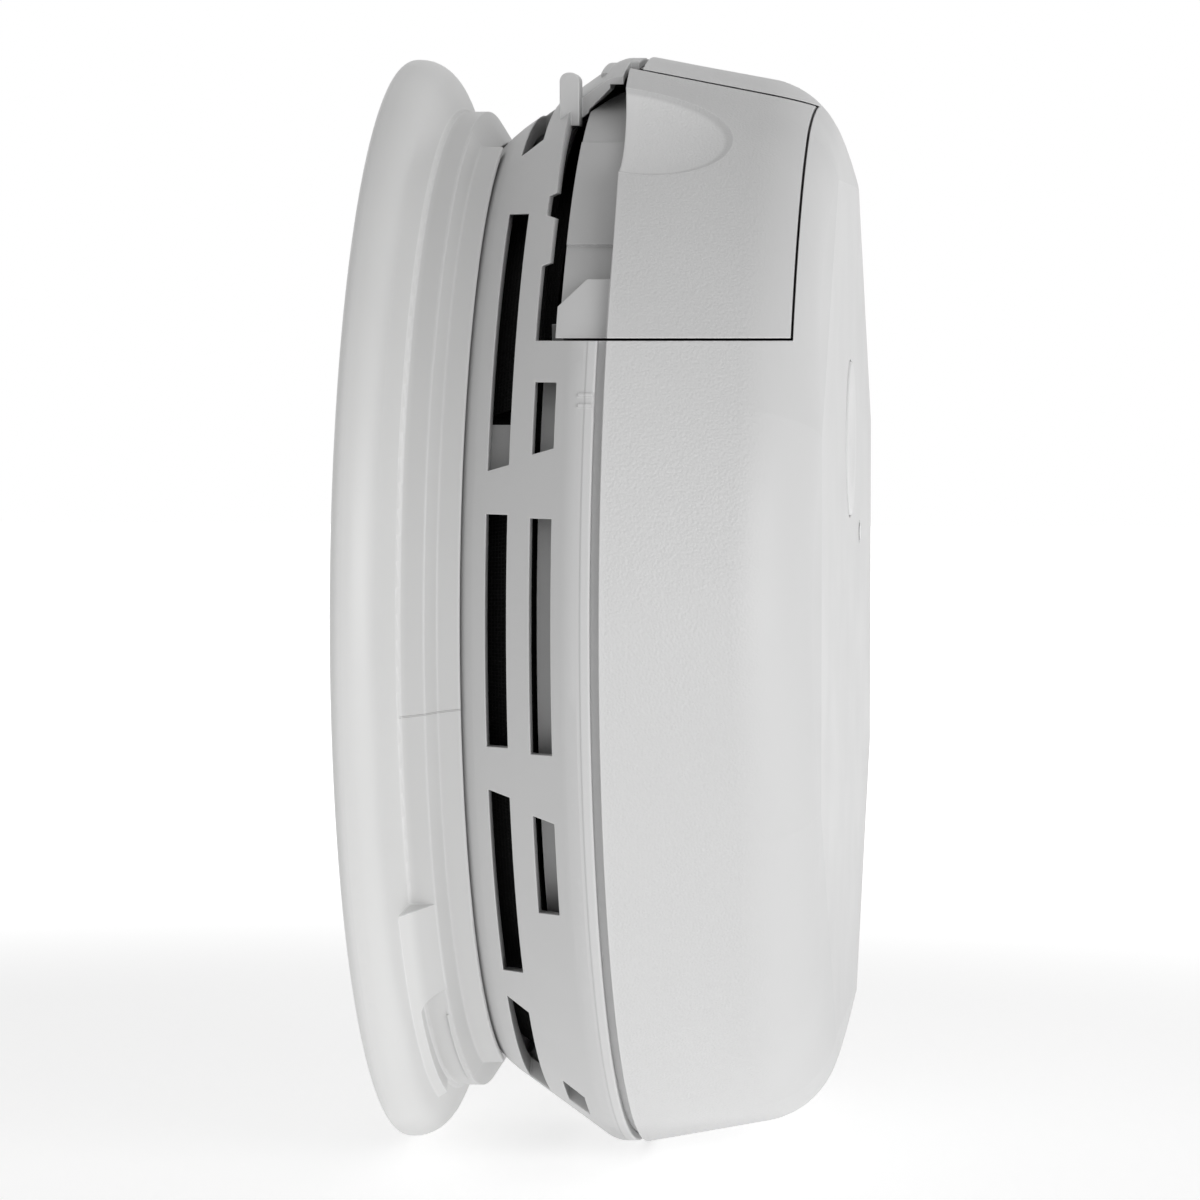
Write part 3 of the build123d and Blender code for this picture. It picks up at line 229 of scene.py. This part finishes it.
def moulded_plastic(name, colour, roughness, recess=0.72, reach=0.007):
    """White moulded plastic: faint mottling, specks, painted shade in recesses, painted highlights on edges
    and tool ripple.
    """
    material, tree, shader, place = new_finish(name, colour, roughness)
    shader.inputs["IOR"].default_value = 1.5
    tint = blended(tree, noise(tree, place, 38.0), [c * 0.965 for c in colour], [c * 1.02 for c in colour])
    cells = shader_node(tree, "TexVoronoi", {"Vector": place, "Scale": 75.0})
    speck = stepped(tree, cells.outputs["Distance"], 0.008, 0.016, 1.0, 0.0)
    chosen = shader_node(tree, "SeparateColor", {"Color": cells.outputs["Color"]}).outputs[0]
    rare = reckoned(tree, "MULTIPLY", speck, reckoned(tree, "GREATER_THAN", chosen, 0.72))
    speckled = blended(tree, reckoned(tree, "MULTIPLY", rare, 0.5), tint, (0.12, 0.11, 0.10))
    # Painted shade: where ambient occlusion finds nearby surfaces, in recesses, gaps and corners, the
    # colour is blended towards dark grey; recess sets how much of the colour is kept there.
    shelter = shader_node(tree, "AmbientOcclusion", {"Distance": reach}, samples=6).outputs["AO"]
    depth = stepped(tree, shelter, 0.15, 0.85, 1.0, 0.0)
    dust_and_painted_shade = blended(tree, reckoned(tree, "MULTIPLY", depth, 1 - recess), speckled, (0.10, 0.10, 0.10))
    edge = shader_node(tree, "Bevel", {"Radius": 0.00028}, samples=6).outputs["Normal"]
    level = shader_node(tree, "NewGeometry").outputs["Normal"]
    turn = shader_node(tree, "VectorMath", {0: edge, 1: level}, operation="DOT_PRODUCT").outputs["Value"]
    # Painted highlight: along sharp edges, where the bevelled normal turns away from the surface's, the
    # colour is blended up to 80 % towards a colour 22 % paler.
    edge_highlight = stepped(tree, turn, 0.99, 0.9996, 0.8, 0.0)
    edge_highlighted = blended(tree, edge_highlight, dust_and_painted_shade, [min(0.9, c * 1.22) for c in colour])
    tree.links.new(edge_highlighted, shader.inputs["Base Color"])
    sheen = stepped(tree, noise(tree, place, 90.0, 2.0), 0.2, 0.8, roughness * 0.9, roughness * 1.12)
    tree.links.new(sheen, shader.inputs["Roughness"])
    ripple = bumped(tree, noise(tree, place, 230.0), 0.00003, 0.6, edge)
    tree.links.new(ripple, shader.inputs["Normal"])
    return material, tree, shader, place, ripple


def colour_so_far(shader):
    """Colour that a finish has up to now, to tint further."""
    return shader.inputs["Base Color"].links[0].from_socket


def finish_with(material, *names):
    """Gives a finish to whole pieces."""
    for name in names:
        for material_slot in cad_nodes[name].material_slots:
            material_slot.material = material


bracket_plastic, tree, shader, place, ripple = moulded_plastic(
    "bracket_plastic", (0.76, 0.76, 0.755), 0.4, 0.85
)
axes = shader_node(tree, "SeparateXYZ", {0: place})
seam_lean, seam_drop = 0.12, 0.0118
seam_height = reckoned(tree, "MULTIPLY_ADD", axes.outputs["Y"], seam_lean, seam_drop)
seam_away = reckoned(tree, "ABSOLUTE", reckoned(tree, "ADD", axes.outputs["Z"], seam_height))
seam_here = reckoned(tree, "LESS_THAN", axes.outputs["Y"], -0.0074)
seam_side = reckoned(tree, "LESS_THAN", axes.outputs["X"], -0.058)
seam = reckoned(tree, "MULTIPLY", stepped(tree, seam_away, 0.00004, 0.00012, 1.0, 0.0),
                reckoned(tree, "MULTIPLY", seam_here, seam_side))
tree.links.new(bumped(tree, seam, 0.00012, 1.0, ripple), shader.inputs["Normal"])
# Painted shade: the bracket's collar, more than about 8 mm off the wall, is blended 30 % towards grey,
# standing in for the shade it sits in between the flange and the base.
collar_shade = 0.3
on_collar = stepped(tree, axes.outputs["Y"], -0.0085, -0.0070, 1.0, 0.0)
collar_shade_share = reckoned(tree, "MULTIPLY", on_collar, collar_shade)
with_painted_shading = blended(tree, collar_shade_share, colour_so_far(shader), (0.42, 0.42, 0.42))
tree.links.new(with_painted_shading, shader.inputs["Base Color"])
finish_with(bracket_plastic, "mounting_bracket")


# ---------------------------------------------------------------------------------- base housing
# Vented rear moulding, a touch flatter than the bracket, with its drum in the bracket's cup and a paler
# band round its lip, painted light for the lit rounding of the lip, with a faint bump at the band's edges.
# The horn's cup inside is moulded in the same plastic.
def reach_from_axis(tree, axes):
    """Distance from the line that the coordinates turn about, along Y."""
    across = reckoned(tree, "POWER", axes.outputs["X"], 2.0)
    upward = reckoned(tree, "POWER", axes.outputs["Z"], 2.0)
    return reckoned(tree, "SQRT", reckoned(tree, "ADD", across, upward))


housing_plastic, tree, shader, place, ripple = moulded_plastic(
    "housing_plastic", (0.635, 0.635, 0.635), 0.48, 0.75
)
axes = shader_node(tree, "SeparateXYZ", {0: place})
# Painted light: a band round the lip, more than 30 mm off the wall and over 70 mm from the axis, is blended
# 35 % towards pale grey, standing in for the lit rounding of the lip; the same band gets a faint bump step.
lip_inner_reach = 0.0700
lip_light = 0.35
lip_band = reckoned(tree, "MULTIPLY", stepped(tree, axes.outputs["Y"], -0.0302, -0.0299, 1.0, 0.0),
                    reckoned(tree, "GREATER_THAN", reach_from_axis(tree, axes), lip_inner_reach))
lip_light_share = reckoned(tree, "MULTIPLY", lip_band, lip_light)
with_painted_shading = blended(tree, lip_light_share, colour_so_far(shader), (0.76, 0.76, 0.76))
tree.links.new(with_painted_shading, shader.inputs["Base Color"])
tree.links.new(bumped(tree, lip_band, 0.0001, 1.0, ripple), shader.inputs["Normal"])
finish_with(housing_plastic, "base_housing", "horn_housing")


# ----------------------------------------------------------------------------------- front cover
# Domed cover: fine leather grain etched into the tool round the side, fading out on the shoulder, and a
# face left without grain.
def leather_grain(tree, shader, place, normal):
    """Adds the side's pebbled grain, from the cover's edge to its shoulder, on the outside alone."""
    pebbles = shader_node(
        tree, "TexVoronoi", {"Vector": place, "Scale": 3000.0, "Smoothness": 0.5}, feature="SMOOTH_F1"
    ).outputs["Distance"]
    patches = noise(tree, place, 1900.0, 2.0)
    relief = reckoned(tree, "MULTIPLY_ADD", patches, 0.4, pebbles)
    axes = shader_node(tree, "SeparateXYZ", {0: place})
    outside = stepped(tree, reach_from_axis(tree, axes), 0.0632, 0.0645)
    below_shoulder = stepped(tree, axes.outputs["Y"], -0.0525, -0.0475)
    above_edge = stepped(tree, axes.outputs["Y"], -0.0332, -0.0322, 1.0, 0.0)
    where = reckoned(tree, "MULTIPLY", outside, reckoned(tree, "MULTIPLY", below_shoulder, above_edge))
    height = reckoned(tree, "MULTIPLY", relief, where)
    tree.links.new(bumped(tree, height, 0.00005, 1.0, normal, True), shader.inputs["Normal"])


cover_plastic, tree, shader, place, ripple = moulded_plastic(
    "cover_plastic", (0.70, 0.70, 0.70), 0.46, 0.82
)
leather_grain(tree, shader, place, ripple)
finish_with(cover_plastic, "front_cover")


# --------------------------------------------------------------------------------- battery drawer
# Panel and tray in one moulding: grained outside like the cover, a little duller, with strong painted shade
# in its recesses, the tray painted darker as shade under the panel, and the thumb scoop painted paler as
# light falling into it.
drawer_plastic, tree, shader, place, ripple = moulded_plastic(
    "drawer_plastic", (0.66, 0.66, 0.66), 0.5, 0.45, 0.010
)
leather_grain(tree, shader, place, ripple)
axes = shader_node(tree, "SeparateXYZ", {0: place})
side_slope, side_start = 0.191, 0.0772
side_reach = reckoned(tree, "MULTIPLY_ADD", axes.outputs["Y"], side_slope, side_start)
hollow = reckoned(tree, "SUBTRACT", side_reach, reach_from_axis(tree, axes))
in_scoop = reckoned(tree, "MULTIPLY", stepped(tree, hollow, 0.00015, 0.0005),
                    stepped(tree, hollow, 0.0030, 0.0034, 1.0, 0.0))
near_edge = reckoned(tree, "MULTIPLY", stepped(tree, axes.outputs["Y"], -0.0472, -0.0462),
                     reckoned(tree, "GREATER_THAN", axes.outputs["Z"], 0.05))
scoop_light, tray_shade = 0.75, 0.4
# Painted light: in the thumb scoop the colour is blended 75 % towards pale grey, standing in for the light
# falling into the scoop.
scoop_painted_light = reckoned(tree, "MULTIPLY", in_scoop, reckoned(tree, "MULTIPLY", near_edge, scoop_light))
# Painted shade: inside the tray, some 2 to 4 mm within the panel's outer surface, the colour is blended 40
# % towards dark grey, standing in for the shade under the panel's edge.
tray_painted_shade = reckoned(tree, "MULTIPLY", stepped(tree, hollow, 0.0022, 0.0036), tray_shade)
shaded = blended(tree, tray_painted_shade, colour_so_far(shader), (0.36, 0.36, 0.36))
tree.links.new(blended(tree, scoop_painted_light, shaded, (0.86, 0.86, 0.86)), shader.inputs["Base Color"])
finish_with(drawer_plastic, "battery_drawer")


# ---------------------------------------------------------------------------------------- battery
# 9 V block: steel can in a printed foil sleeve, slate with one pale band, with black plastic ends.
# Its snap stud and snap socket are plated steel.
battery_sleeve, tree, shader, place = new_finish("battery_sleeve", (0.06, 0.075, 0.10), 0.3)
shader.inputs["Coat Weight"].default_value = 0.5
axes = shader_node(tree, "SeparateXYZ", {0: place})
scuffs = noise(tree, place, 160.0, 5.0)
slate = blended(tree, scuffs, (0.045, 0.06, 0.085), (0.075, 0.095, 0.13))
band = reckoned(tree, "MULTIPLY", stepped(tree, axes.outputs["X"], 0.0058, 0.0060),
                stepped(tree, axes.outputs["X"], 0.0128, 0.0130, 1.0, 0.0))
printed = blended(tree, band, slate, (0.62, 0.63, 0.64))
ends = reckoned(tree, "ADD", stepped(tree, axes.outputs["X"], 0.0180, 0.0182),
                stepped(tree, axes.outputs["X"], -0.0262, -0.0260, 1.0, 0.0))
tree.links.new(blended(tree, ends, printed, (0.02, 0.02, 0.02)), shader.inputs["Base Color"])
tree.links.new(stepped(tree, scuffs, 0.3, 0.7, 0.24, 0.4), shader.inputs["Roughness"])
tree.links.new(bumped(tree, noise(tree, place, 420.0), 0.00003), shader.inputs["Normal"])
finish_with(battery_sleeve, "battery")


def drawn_metal(name, colour, roughness, across):
    """Plated sheet or wire with fine draw marks across an axis and slight tarnish."""
    material, tree, shader, place = new_finish(name, colour, roughness, 1.0)
    turn = shader_node(tree, "Mapping", {"Vector": place, "Scale": across}).outputs["Vector"]
    marks = noise(tree, turn, 1.0, 4.0)
    tarnish = noise(tree, place, 210.0, 4.0)
    dulled = blended(tree, tarnish, [c * 0.82 for c in colour], colour)
    tree.links.new(dulled, shader.inputs["Base Color"])
    dull = stepped(tree, tarnish, 0.3, 0.7, roughness * 0.8, roughness * 1.3)
    tree.links.new(dull, shader.inputs["Roughness"])
    tree.links.new(bumped(tree, marks, 0.00002, 0.5), shader.inputs["Normal"])
    return material


plated_steel = drawn_metal("plated_steel", (0.66, 0.65, 0.62), 0.28, (300, 2500, 300))
finish_with(plated_steel, "battery_terminals")


# ------------------------------------------------------------------------------- battery contacts
# Black moulded holder that stands on the board at the tray's inner end, with two nickel contacts.
def dark_plastic(name, colour, roughness):
    """Dark moulded plastic with spark texture and dust."""
    material, tree, shader, place = new_finish(name, colour, roughness)
    dust = stepped(tree, noise(tree, place, 120.0, 5.0), 0.45, 0.75, 0.0, 0.35)
    dust_and_painted_shade = blended(tree, dust, colour, [c * 1.8 + 0.004 for c in colour])
    tree.links.new(dust_and_painted_shade, shader.inputs["Base Color"])
    tree.links.new(stepped(tree, noise(tree, place, 60.0), 0.3, 0.7, roughness * 0.9, roughness * 1.1),
                   shader.inputs["Roughness"])
    tree.links.new(bumped(tree, noise(tree, place, 1400.0, 2.0), 0.00004), shader.inputs["Normal"])
    return material


holder_black = dark_plastic("holder_black", (0.02, 0.02, 0.021), 0.55)
finish_with(holder_black, "contact_holder")
finish_with(plated_steel, "battery_contacts")


# ---------------------------------------------------------------------------------- circuit board
# Round glass-epoxy board, solder mask green over copper tracks, with tinned pads and tan edges. Three
# plated screws hold it on the base's bosses.
board_mask, tree, shader, place = new_finish("board_mask", (0.01, 0.09, 0.035), 0.35)
axes = shader_node(tree, "SeparateXYZ", {0: place})
flat = shader_node(tree, "CombineXYZ", {"X": axes.outputs["X"], "Y": axes.outputs["Z"]}).outputs[0]
track_sizes = {"Scale": 1.0, "Mortar Size": 0.00022, "Brick Width": 0.0094, "Row Height": 0.0019}
tracks = shader_node(tree, "TexBrick", {"Vector": flat, **track_sizes}).outputs["Fac"]
wander = shader_node(tree, "TexVoronoi", {"Vector": flat, "Scale": 60.0}, distance="CHEBYCHEV")
between_patches = reckoned(tree, "GREATER_THAN", wander.outputs["Distance"], 0.28)
routed = reckoned(tree, "MULTIPLY", tracks, between_patches)
green = blended(tree, noise(tree, place, 70.0), (0.008, 0.075, 0.03), (0.014, 0.11, 0.045))
copper_under = blended(tree, routed, green, (0.035, 0.19, 0.07))
pad_cells = shader_node(tree, "TexVoronoi", {"Vector": flat, "Scale": 145.0, "Randomness": 0.35})
pads = stepped(tree, pad_cells.outputs["Distance"], 0.085, 0.1, 1.0, 0.0)
pad_chance = shader_node(tree, "SeparateColor", {"Color": pad_cells.outputs["Color"]}).outputs[1]
pads = reckoned(tree, "MULTIPLY", pads, reckoned(tree, "GREATER_THAN", pad_chance, 0.55))
tinned = blended(tree, pads, copper_under, (0.6, 0.6, 0.58))
board_normal = shader_node(tree, "NewGeometry").outputs["Normal"]
facing_side = shader_node(tree, "SeparateXYZ", {0: board_normal}).outputs["Y"]
edge_on = reckoned(tree, "LESS_THAN", reckoned(tree, "ABSOLUTE", facing_side), 0.5)
tree.links.new(blended(tree, edge_on, tinned, (0.32, 0.27, 0.13)), shader.inputs["Base Color"])
tree.links.new(reckoned(tree, "MULTIPLY", pads, 0.9), shader.inputs["Metallic"])
board_relief = reckoned(tree, "MAXIMUM", routed, pads)
tree.links.new(bumped(tree, board_relief, 0.00005), shader.inputs["Normal"])
finish_with(board_mask, "circuit_board")
finish_with(drawn_metal("screw_zinc", (0.55, 0.56, 0.57), 0.32, (900, 900, 900)), "board_screws")


# -------------------------------------------------------------------------------- mains connector
# Ivory nylon socket at the back of the board, which the house wiring's plug pushes into, with three
# tinned pins.
socket_nylon, tree, shader, place = new_finish("socket_nylon", (0.62, 0.60, 0.54), 0.42)
shader.inputs["Subsurface Weight"].default_value = 0.08
shader.inputs["Subsurface Radius"].default_value = (0.001, 0.0008, 0.0006)
nylon = blended(tree, noise(tree, place, 110.0, 4.0), (0.58, 0.56, 0.50), (0.66, 0.64, 0.58))
tree.links.new(nylon, shader.inputs["Base Color"])
tree.links.new(bumped(tree, noise(tree, place, 600.0), 0.00003), shader.inputs["Normal"])
finish_with(socket_nylon, "mains_socket")
finish_with(drawn_metal("tinned_brass", (0.72, 0.62, 0.42), 0.25, (300, 2400, 300)), "mains_pins")


# --------------------------------------------------------------------------------- sensing chamber
# Matt black labyrinth and its cap, which keep stray light from the infrared lamp and the sensor.
# A near-black wire-cloth band stands behind the vents against insects, and a flared cuff of the same cloth,
# open at the vents' post, leans out towards the base's wall. The band is partly a real insect screen and
# partly painted shade: it is made near black, and the cuff is added, so the inside seen through the vents
# is dark.
chamber_black = dark_plastic("chamber_black", (0.012, 0.012, 0.013), 0.7)
finish_with(chamber_black, "sensing_chamber", "chamber_cap")


def moulded_epoxy(name, colour):
    """Clear tinted epoxy of a round-nosed diode."""
    material, tree, shader, place = new_finish(name, colour, 0.12)
    shader.inputs["Transmission Weight"].default_value = 0.55
    shader.inputs["IOR"].default_value = 1.54
    haze = blended(tree, noise(tree, place, 500.0, 2.0), colour, [min(1.0, c * 1.25) for c in colour])
    tree.links.new(haze, shader.inputs["Base Color"])
    return material


finish_with(moulded_epoxy("lamp_epoxy", (0.55, 0.62, 0.75)), "infrared_led")
finish_with(moulded_epoxy("sensor_epoxy", (0.05, 0.03, 0.05)), "photodiode")

screen_cloth, tree, shader, place = new_finish("screen_cloth", (0.004, 0.004, 0.004), 0.6)
shader.inputs["Specular IOR Level"].default_value = 0.25
axes = shader_node(tree, "SeparateXYZ", {0: place})
angle = reckoned(tree, "ARCTAN2", axes.outputs["Z"], axes.outputs["X"])
round_way = reckoned(tree, "MULTIPLY", angle, 420.0)
up_way = reckoned(tree, "MULTIPLY", axes.outputs["Y"], 7400.0)
warp = reckoned(tree, "ABSOLUTE", reckoned(tree, "SINE", round_way))
weft = reckoned(tree, "ABSOLUTE", reckoned(tree, "SINE", up_way))
wires = stepped(tree, reckoned(tree, "MAXIMUM", warp, weft), 0.82, 0.95)
woven = blended(tree, wires, (0.0012, 0.0012, 0.0012), (0.012, 0.012, 0.012))
tree.links.new(woven, shader.inputs["Base Color"])
tree.links.new(bumped(tree, wires, 0.0001), shader.inputs["Normal"])
finish_with(screen_cloth, "insect_screen")

# Painted shade: this cuff of near-black cloth is a sheet added to darken the inside seen through the vents.
cuff_corners = ((0.0569, 0.0154), (0.0573, 0.0154), (0.0629, 0.0235), (0.0625, 0.0235))
cuff_start, cuff_end, cuff_steps = radians(25.5), radians(373.5), 116
cuff_points = []
for step in range(cuff_steps + 1):
    turn = cuff_start + (cuff_end - cuff_start) * step / cuff_steps
    cuff_points += [(-cos(turn) * reach, -height, sin(turn) * reach) for reach, height in cuff_corners]
cuff_faces = [(3, 2, 1, 0), tuple(4 * cuff_steps + corner for corner in (0, 1, 2, 3))]
for step in range(cuff_steps):
    for corner in range(4):
        after = (corner + 1) % 4
        cuff_faces.append(tuple(4 * step + k for k in (corner, after, after + 4, corner + 4)))
cuff_mesh = bpy.data.meshes.new("screen_shade_cuff")
cuff_mesh.from_pydata(cuff_points, [], cuff_faces)
cuff_mesh.materials.append(screen_cloth)
screen_shade_cuff = bpy.data.objects.new("screen_shade_cuff", cuff_mesh)
scene.collection.objects.link(screen_shade_cuff)
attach(screen_shade_cuff, "alarm")


# ------------------------------------------------------------------------------------ board parts
# Chip with tinned legs, yellow film capacitor, sleeved electrolytic, blue varistor and a row of
# banded resistors, all soldered to the board.
chip_epoxy, tree, shader, place = new_finish("chip_epoxy", (0.018, 0.018, 0.019), 0.5)
axes = shader_node(tree, "SeparateXYZ", {0: place})
from_middle = reckoned(tree, "ABSOLUTE", reckoned(tree, "SUBTRACT", axes.outputs["Z"], 0.0172))
legs = reckoned(tree, "GREATER_THAN", from_middle, 0.00325)
dimple_at = {"Vector": place, "Location": (0.0290, 0.0, -0.0150)}
dimple_place = shader_node(tree, "Mapping", dimple_at).outputs["Vector"]
dimple_axes = shader_node(tree, "SeparateXYZ", {0: dimple_place})
dimple = stepped(tree, reach_from_axis(tree, dimple_axes), 0.0005, 0.0006, 1.0, 0.0)
body_black = blended(tree, noise(tree, place, 300.0), (0.014, 0.014, 0.015), (0.026, 0.026, 0.027))
tree.links.new(blended(tree, legs, body_black, (0.6, 0.6, 0.58)), shader.inputs["Base Color"])
tree.links.new(legs, shader.inputs["Metallic"])
tree.links.new(bumped(tree, dimple, 0.0002, 1.0, None, True), shader.inputs["Normal"])
finish_with(chip_epoxy, "controller_chip")


def dipped_shell(name, colour, roughness, coat):
    """Dipped or cast shell of a board part, a little uneven."""
    material, tree, shader, place = new_finish(name, colour, roughness)
    shader.inputs["Coat Weight"].default_value = coat
    uneven = noise(tree, place, 190.0, 4.0)
    shell = blended(tree, uneven, [c * 0.85 for c in colour], [min(1.0, c * 1.1) for c in colour])
    tree.links.new(shell, shader.inputs["Base Color"])
    tree.links.new(bumped(tree, uneven, 0.00012), shader.inputs["Normal"])
    return material


finish_with(dipped_shell("film_yellow", (0.62, 0.42, 0.05), 0.45, 0.1), "power_capacitor")
finish_with(dipped_shell("varistor_blue", (0.03, 0.10, 0.32), 0.3, 0.4), "surge_varistor")

can_sleeve, tree, shader, place = new_finish("can_sleeve", (0.015, 0.02, 0.05), 0.3)
can_at = {"Vector": place, "Location": (-0.043, 0.0, -0.014)}
centred = shader_node(tree, "Mapping", can_at).outputs["Vector"]
axes = shader_node(tree, "SeparateXYZ", {0: centred})
stripe = stepped(tree, axes.outputs["X"], -0.0040, -0.0039, 1.0, 0.0)
printed = blended(tree, noise(tree, place, 90.0), (0.012, 0.016, 0.042), (0.02, 0.027, 0.065))
sleeve = blended(tree, stripe, printed, (0.45, 0.46, 0.48))
top = reckoned(tree, "LESS_THAN", axes.outputs["Y"], -0.02485)
cross = reckoned(tree, "MINIMUM", reckoned(tree, "ABSOLUTE", axes.outputs["X"]),
                 reckoned(tree, "ABSOLUTE", axes.outputs["Z"]))
score = reckoned(tree, "MULTIPLY", top, stepped(tree, cross, 0.0001, 0.0002, 1.0, 0.0))
tree.links.new(blended(tree, top, sleeve, (0.6, 0.6, 0.6)), shader.inputs["Base Color"])
tree.links.new(top, shader.inputs["Metallic"])
tree.links.new(bumped(tree, score, 0.0002, 1.0, None, True), shader.inputs["Normal"])
finish_with(can_sleeve, "smoothing_capacitor")

resistor_body, tree, shader, place = new_finish("resistor_body", (0.55, 0.42, 0.26), 0.4)
axes = shader_node(tree, "SeparateXYZ", {0: place})
ringed = blended(tree, noise(tree, place, 240.0), (0.50, 0.38, 0.23), (0.58, 0.45, 0.28))
for ring_x, ring_colour in ((-0.0438, (0.25, 0.09, 0.03)), (-0.0428, (0.02, 0.02, 0.02)),
                            (-0.0418, (0.5, 0.05, 0.02)), (-0.0402, (0.55, 0.38, 0.08))):
    away = reckoned(tree, "ABSOLUTE", reckoned(tree, "SUBTRACT", axes.outputs["X"], ring_x))
    ringed = blended(tree, reckoned(tree, "LESS_THAN", away, 0.00028), ringed, ring_colour)
tree.links.new(ringed, shader.inputs["Base Color"])
tree.links.new(bumped(tree, noise(tree, place, 800.0), 0.00003), shader.inputs["Normal"])
finish_with(resistor_body, "resistors")


# -------------------------------------------------------------------------------------------- horn
# Thin brass disc with a silvered ceramic layer in its middle, held in the horn's cup.
horn_disc, tree, shader, place = new_finish("horn_disc", (0.72, 0.52, 0.24), 0.25, 1.0)
disc_at = {"Vector": place, "Location": (-0.022, 0.0, 0.022)}
centred = shader_node(tree, "Mapping", disc_at).outputs["Vector"]
axes = shader_node(tree, "SeparateXYZ", {0: centred})
ceramic = stepped(tree, reach_from_axis(tree, axes), 0.0095, 0.0096, 1.0, 0.0)
brass = blended(tree, noise(tree, place, 140.0, 5.0), (0.62, 0.43, 0.18), (0.76, 0.56, 0.28))
tree.links.new(blended(tree, ceramic, brass, (0.62, 0.62, 0.62)), shader.inputs["Base Color"])
tree.links.new(stepped(tree, ceramic, 0.0, 1.0, 0.25, 0.5), shader.inputs["Roughness"])
tree.links.new(bumped(tree, ceramic, 0.0001), shader.inputs["Normal"])
finish_with(horn_disc, "piezo_disc")


# ------------------------------------------------------------------------------------ test button
# Satin button moulded with its stem, a steel return spring round it, and a small board switch with its dark
# plunger. The spring stands on the cover's ledge.
button_plastic = moulded_plastic("button_plastic", (0.70, 0.70, 0.70), 0.34)[0]
finish_with(button_plastic, "test_button")
spring_steel = drawn_metal("spring_steel", (0.5, 0.5, 0.52), 0.25, (700, 700, 700))
coil = bmesh.new()
coil.from_mesh(cad_nodes["button_spring"].data)
bmesh.ops.remove_doubles(coil, verts=coil.verts, dist=1e-6)
coil.verts.index_update()
spring_mesh = bpy.data.meshes.new("return_spring")
coil_faces = [[corner.index for corner in face.verts] for face in coil.faces]
spring_mesh.from_pydata([point.co for point in coil.verts], [], coil_faces)
coil.free()
spring_mesh.shade_smooth()
spring_mesh.set_sharp_from_angle(angle=radians(40))
spring_mesh.materials.append(spring_steel)
return_spring = bpy.data.objects.new("return_spring", spring_mesh)
scene.collection.objects.link(return_spring)
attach(return_spring, "alarm")
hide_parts("button_spring")
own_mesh(return_spring)
finish_with(dark_plastic("switch_black", (0.025, 0.025, 0.027), 0.45), "test_switch")
finish_with(dark_plastic("plunger_grey", (0.10, 0.10, 0.105), 0.4), "switch_plunger")


# -------------------------------------------------------------------------------------- indicator
# Green-tinted diode on the board, under a clear acrylic rod that ends flush in the face.
finish_with(moulded_epoxy("indicator_epoxy", (0.15, 0.62, 0.22)), "indicator_led")
pipe_acrylic, tree, shader, place = new_finish("pipe_acrylic", (0.95, 0.96, 0.96), 0.06)
shader.inputs["Transmission Weight"].default_value = 0.92
shader.inputs["IOR"].default_value = 1.49
clouded = blended(tree, noise(tree, place, 260.0, 3.0), (0.90, 0.92, 0.92), (0.98, 0.99, 0.99))
tree.links.new(clouded, shader.inputs["Base Color"])
tree.links.new(bumped(tree, noise(tree, place, 500.0), 0.00002), shader.inputs["Normal"])
finish_with(pipe_acrylic, "light_pipe")
